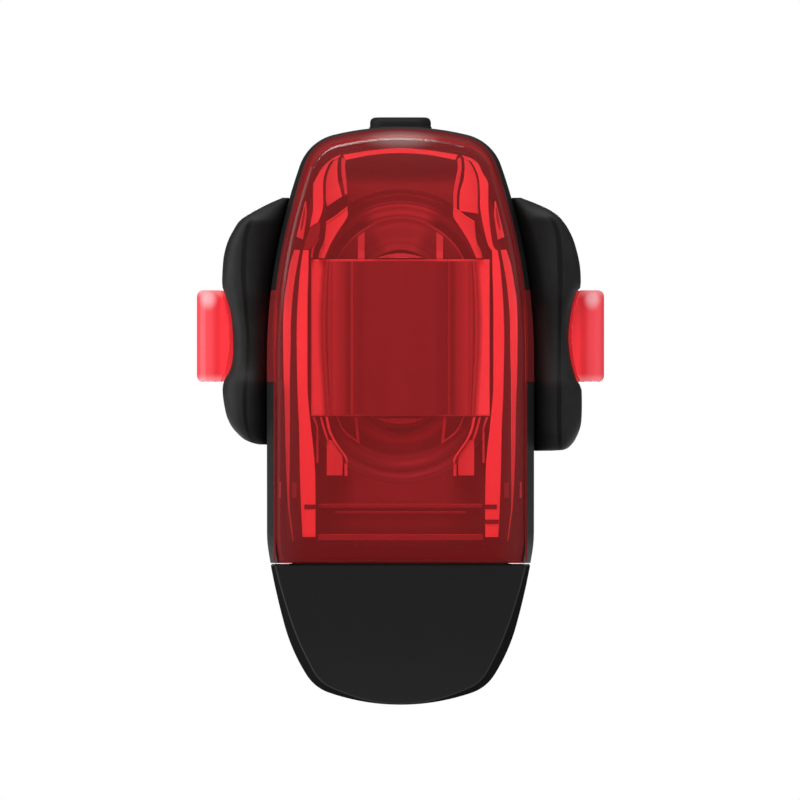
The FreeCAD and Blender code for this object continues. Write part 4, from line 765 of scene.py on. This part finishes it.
def strap_half(points, crest, top, bottom, side):
    """Rows from the middle of the band to the ear's front end, as outer and inner points at each height. The
    path runs round the post, then straight to the ear; the section turns from a rounded bar, 3.5 by 20 mm,
    into the ear's, and ends in two superellipse quarters that meet on the crest: across by cos t, forwards by
    sin t, both to the power 0.8."""
    inner, outer, z = ear_section(points, top, bottom)
    swing = np.linspace(-math.pi / 2, math.pi / 2, len(z))
    bar_out = np.abs(np.cos(swing)) ** 0.35
    bar_z = band_height + band_reach * np.sign(np.sin(swing)) * np.abs(np.sin(swing)) ** 0.5
    held = np.abs(z) < eyelet + 0.05
    bar_z[held] = np.interp(z[held], [-eyelet, eyelet], [-4.6, 7.6])
    turn = np.linspace(math.pi / 2, math.radians(11.4), round_rows)
    normal = np.stack([np.cos(turn), np.sin(turn)], axis=-1)
    normal = np.vstack([normal, np.repeat(normal[-1:], arm_rows, axis=0)])
    along = np.append(np.zeros(round_rows), np.linspace(0, 1, arm_rows + 1)[1:])[:, None]
    path = band_radius * normal
    path = path + along * (np.array([20.0, ear_back]) - path)
    blend = along ** 2 * (3 - 2 * along)
    level = np.append(np.linspace(ear_back, eyelet_front, eyelet_rows + 1)[1:],
                      np.linspace(eyelet_front, ear_front, front_rows + 1)[1:])[:, None]
    ridge = smooth_line(crest, 200)[::-1]
    middle = np.clip(np.interp(z, ridge[:, 1], ridge[:, 0]), inner, outer)
    nose = ear_front - np.minimum((outer - inner) / 2, nose_height) * np.sin(nose_turn) ** 0.8
    halves = []
    for edge, sign in ((outer, 1), (inner, -1)):
        band = path[..., None] + sign * band_half * normal[..., None] * bar_out
        rows = [(band[:, 0] * (1 - blend) + edge * blend, band[:, 1] * (1 - blend) + path[:, 1:] * blend,
                 bar_z * (1 - blend) + z * blend),
                (edge, level, z),
                (middle + (edge - middle) * np.cos(nose_turn).clip(0) ** 0.8, nose, z)]
        halves.append(np.concatenate([np.stack(np.broadcast_arrays(*row), axis=-1) for row in rows]))
    return np.stack(halves, axis=1) * (side, 1, 1)


left_outline = [
    (16.9, -13.85), (18.15, -13.8), (19.8, -13.25), (21.2, -11.97), (21.97, -10.7), (22.36, -9.4),
    (22.62, -7.8), (22.68, -6.6), (22.45, -5.6), (21.7, -4.2), (21.36, -2.4), (21.42, 0.9), (21.77, 3.44),
    (22.5, 5.5), (22.7, 6.3), (22.74, 7.4), (22.6, 9.68), (22.36, 10.96), (21.97, 12.2), (21.3, 13.5),
    (20.4, 14.8), (18.5, 16.0), (16.85, 16.85), (15.0, 17.65)]
left_crest = [
    (15.2, 17.6), (17.0, 16.7), (18.5, 15.6), (19.4, 14.2), (19.9, 12.2), (20.05, 8.0), (19.7, 3.2),
    (19.4, -1.5), (19.8, -7.5), (19.7, -11.1), (18.9, -13.9)]
right_outline = [
    (17.3, -14.65), (20.3, -14.58), (21.3, -14.3), (22.05, -13.55), (22.5, -12.75), (22.85, -11.9),
    (23.05, -11.0), (23.13, -9.6), (23.13, -7.8), (23.05, -6.6), (22.5, -5.5), (21.8, -3.4), (21.45, -0.8),
    (21.5, 1.2), (21.95, 3.9), (22.7, 5.5), (22.98, 6.5), (22.96, 8.2), (22.8, 9.5), (22.5, 10.8),
    (22.05, 12.3), (21.35, 13.75), (20.8, 14.55), (20.1, 15.35), (19.0, 16.1), (17.4, 16.85), (15.3, 17.65)]
right_crest = [
    (15.4, 17.6), (17.4, 16.7), (19.2, 15.2), (20.2, 12.7), (20.4, 8.0), (20.4, 3.2), (20.3, -3.0),
    (20.2, -9.8), (20.4, -14.4)]
right = strap_half(right_outline, right_crest, 17.65, -14.65, 1)
left = strap_half(left_outline, left_crest, 17.65, -13.85, -1)
rows = np.concatenate([left[:0:-1], right])
total, _, across, _ = rows.shape
index = np.arange(total * 2 * across).reshape(total, 2, across)
quads = ring_quads(np.concatenate([index[:, 0], index[:, 1, ::-1]], axis=1))

# Each eyelet takes the quads of its rows out of both sides of the ear, and four walls join the two openings
kept = np.ones(quads.shape[:2], bool)
walls = []
low, high = np.flatnonzero(np.isclose(np.abs(right[-1, 0, :, 2]), eyelet))
front = len(nose_turn) + front_rows
back = front + eyelet_rows
for first, last in ((front, back), (total - 1 - back, total - 1 - front)):
    kept[first:last, low:high] = False
    kept[first:last, 2 * across - 1 - high:2 * across - 1 - low] = False
    for row in range(first, last):
        walls.append([index[row, 0, low], index[row + 1, 0, low], index[row + 1, 1, low], index[row, 1, low]])
        walls.append([index[row + 1, 0, high], index[row, 0, high], index[row, 1, high],
                      index[row + 1, 1, high]])
    for column in range(low, high):
        walls.append([index[first, 0, column + 1], index[first, 0, column], index[first, 1, column],
                      index[first, 1, column + 1]])
        walls.append([index[last, 0, column], index[last, 0, column + 1], index[last, 1, column + 1],
                      index[last, 1, column]])
# Dark along each ear's crest for the parting line, and painted shade on the ear's front beside the body
reach, depth = np.abs(rows[..., 0]), rows[..., 1]
parting = np.where(depth < -31, ((19.6 - reach) / 2.2).clip(0, 0.9), 0)
parting[[0, 1, 2, -3, -2, -1]] = 1.0
strap_rubber = grained("black silicone rubber", "#0c0c0c", "#202020", 0.55, 0.12, 0.004, 0.3,
                       mark=("parting", "#030303"))
strap = shell("strap", rows, quads[kept].tolist() + np.array(walls).tolist(), strap_rubber, 50, merge=True,
              parting=parting)
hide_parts("strap_band", "strap_free_arm")
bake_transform(strap)

# Studio: a floor of pale paper below the light, a white room, soft lamps above and beside it, and a camera
# with a long lens at the photograph's viewing angle.
floor_mesh = bpy.data.meshes.new("floor")
floor_mesh.from_pydata([(-0.6, -0.1, -0.12), (0.6, -0.1, -0.12), (0.6, 0.6, -0.12), (-0.6, 0.6, -0.12)], [],
                       [(0, 1, 2, 3)])
floor = bpy.data.objects.new("floor", floor_mesh)
bpy.context.scene.collection.objects.link(floor)
paper, tree = new_material("white paper")
sheet = add_node(tree, "BsdfDiffuse", {"Color": linear("#c8c8c8")})
path = add_node(tree, "LightPath")
seen = add_node(tree, "Math", {0: path.outputs["Is Camera Ray"], 1: path.outputs["Is Glossy Ray"]},
                operation="MAXIMUM")
lift = add_node(tree, "Math", {0: seen, 1: 0.5}, operation="MULTIPLY")
glow = add_node(tree, "Emission", {"Color": (1, 1, 1, 1), "Strength": lift})
add_node(tree, "OutputMaterial", {"Surface": add_node(tree, "AddShader", {0: sheet, 1: glow})})
floor_mesh.materials.append(paper)

# The room is white to the camera. Gloss mirrors only its ceiling and the wall behind the light, which shows
# at glancing angles, so that dark plastic stays dark.
world = bpy.data.worlds.new("white room")
bpy.context.scene.world = world
world.use_nodes = True
tree = world.node_tree
tree.nodes.clear()
path = add_node(tree, "LightPath")
seen = add_node(tree, "Math", {0: path.outputs["Is Camera Ray"], 1: path.outputs["Is Transmission Ray"]},
                operation="MAXIMUM")
toward = add_node(tree, "SeparateXYZ", {"Vector": add_node(tree, "TexCoord").outputs["Generated"]})
backdrop = add_node(tree, "MapRange", {"Value": toward.outputs["Y"], "From Min": 0.97, "From Max": 1.0},
                    interpolation_type="SMOOTHSTEP")
ceiling = add_node(tree, "MapRange", {"Value": toward.outputs["Z"], "From Min": 0.4, "From Max": 0.8,
                                      "To Max": 0.5}, interpolation_type="SMOOTHSTEP")
bright = add_node(tree, "Math", {0: backdrop, 1: ceiling}, operation="MAXIMUM")
mirrored = add_node(tree, "Math", {0: path.outputs["Is Glossy Ray"], 1: bright}, operation="MULTIPLY")
white = add_node(tree, "Math", {0: seen, 1: mirrored}, operation="MAXIMUM")
plain = add_node(tree, "MapRange", {"Value": path.outputs["Is Glossy Ray"], "To Min": 0.6, "To Max": 0.05})
level = add_node(tree, "MapRange", {"Value": white, "To Min": plain, "To Max": 1.0})
sky = add_node(tree, "Background", {"Color": (1, 1, 1, 1), "Strength": level})
add_node(tree, "OutputWorld", {"Surface": sky})


def softbox(name, place, aim, width, height, power):
    """A rectangular area lamp of that width and height in metres and power in watts, turned to its aim."""
    lamp = bpy.data.lights.new(name, "AREA")
    lamp.shape, lamp.size, lamp.size_y, lamp.energy = "RECTANGLE", width, height, power
    holder = bpy.data.objects.new(name, lamp)
    bpy.context.scene.collection.objects.link(holder)
    holder.location = place
    direction = holder.location.copy()
    direction.xyz = [a - p for a, p in zip(aim, place)]
    holder.rotation_euler = direction.to_track_quat("-Z", "Y").to_euler()


softbox("top softbox", (-0.08, -0.6, 0.74), (0, -0.03, 0), 0.24, 0.5, 5.2)
softbox("left softbox", (-0.85, -0.45, 0.1), (0, -0.03, 0), 1.0, 1.2, 7.6)
softbox("right softbox", (0.85, -0.45, 0.1), (0, -0.03, 0), 1.2, 1.2, 1.7)
softbox("back softbox", (0, 1.2, 0.1), (0, 0, 0), 0.3, 0.3, 4.0)

camera = bpy.data.objects.new("camera", bpy.data.cameras.new("camera"))
bpy.context.scene.collection.objects.link(camera)
camera.data.lens = 600.0
camera.data.sensor_width = 36.0
camera.location = (-0.00006, -1.734, -0.00815)
camera.rotation_euler = (math.pi / 2, 0, 0)
camera.data.clip_start, camera.data.clip_end = 0.1, 10.0
bpy.context.scene.camera = camera
bpy.context.scene.view_settings.view_transform = "Standard"
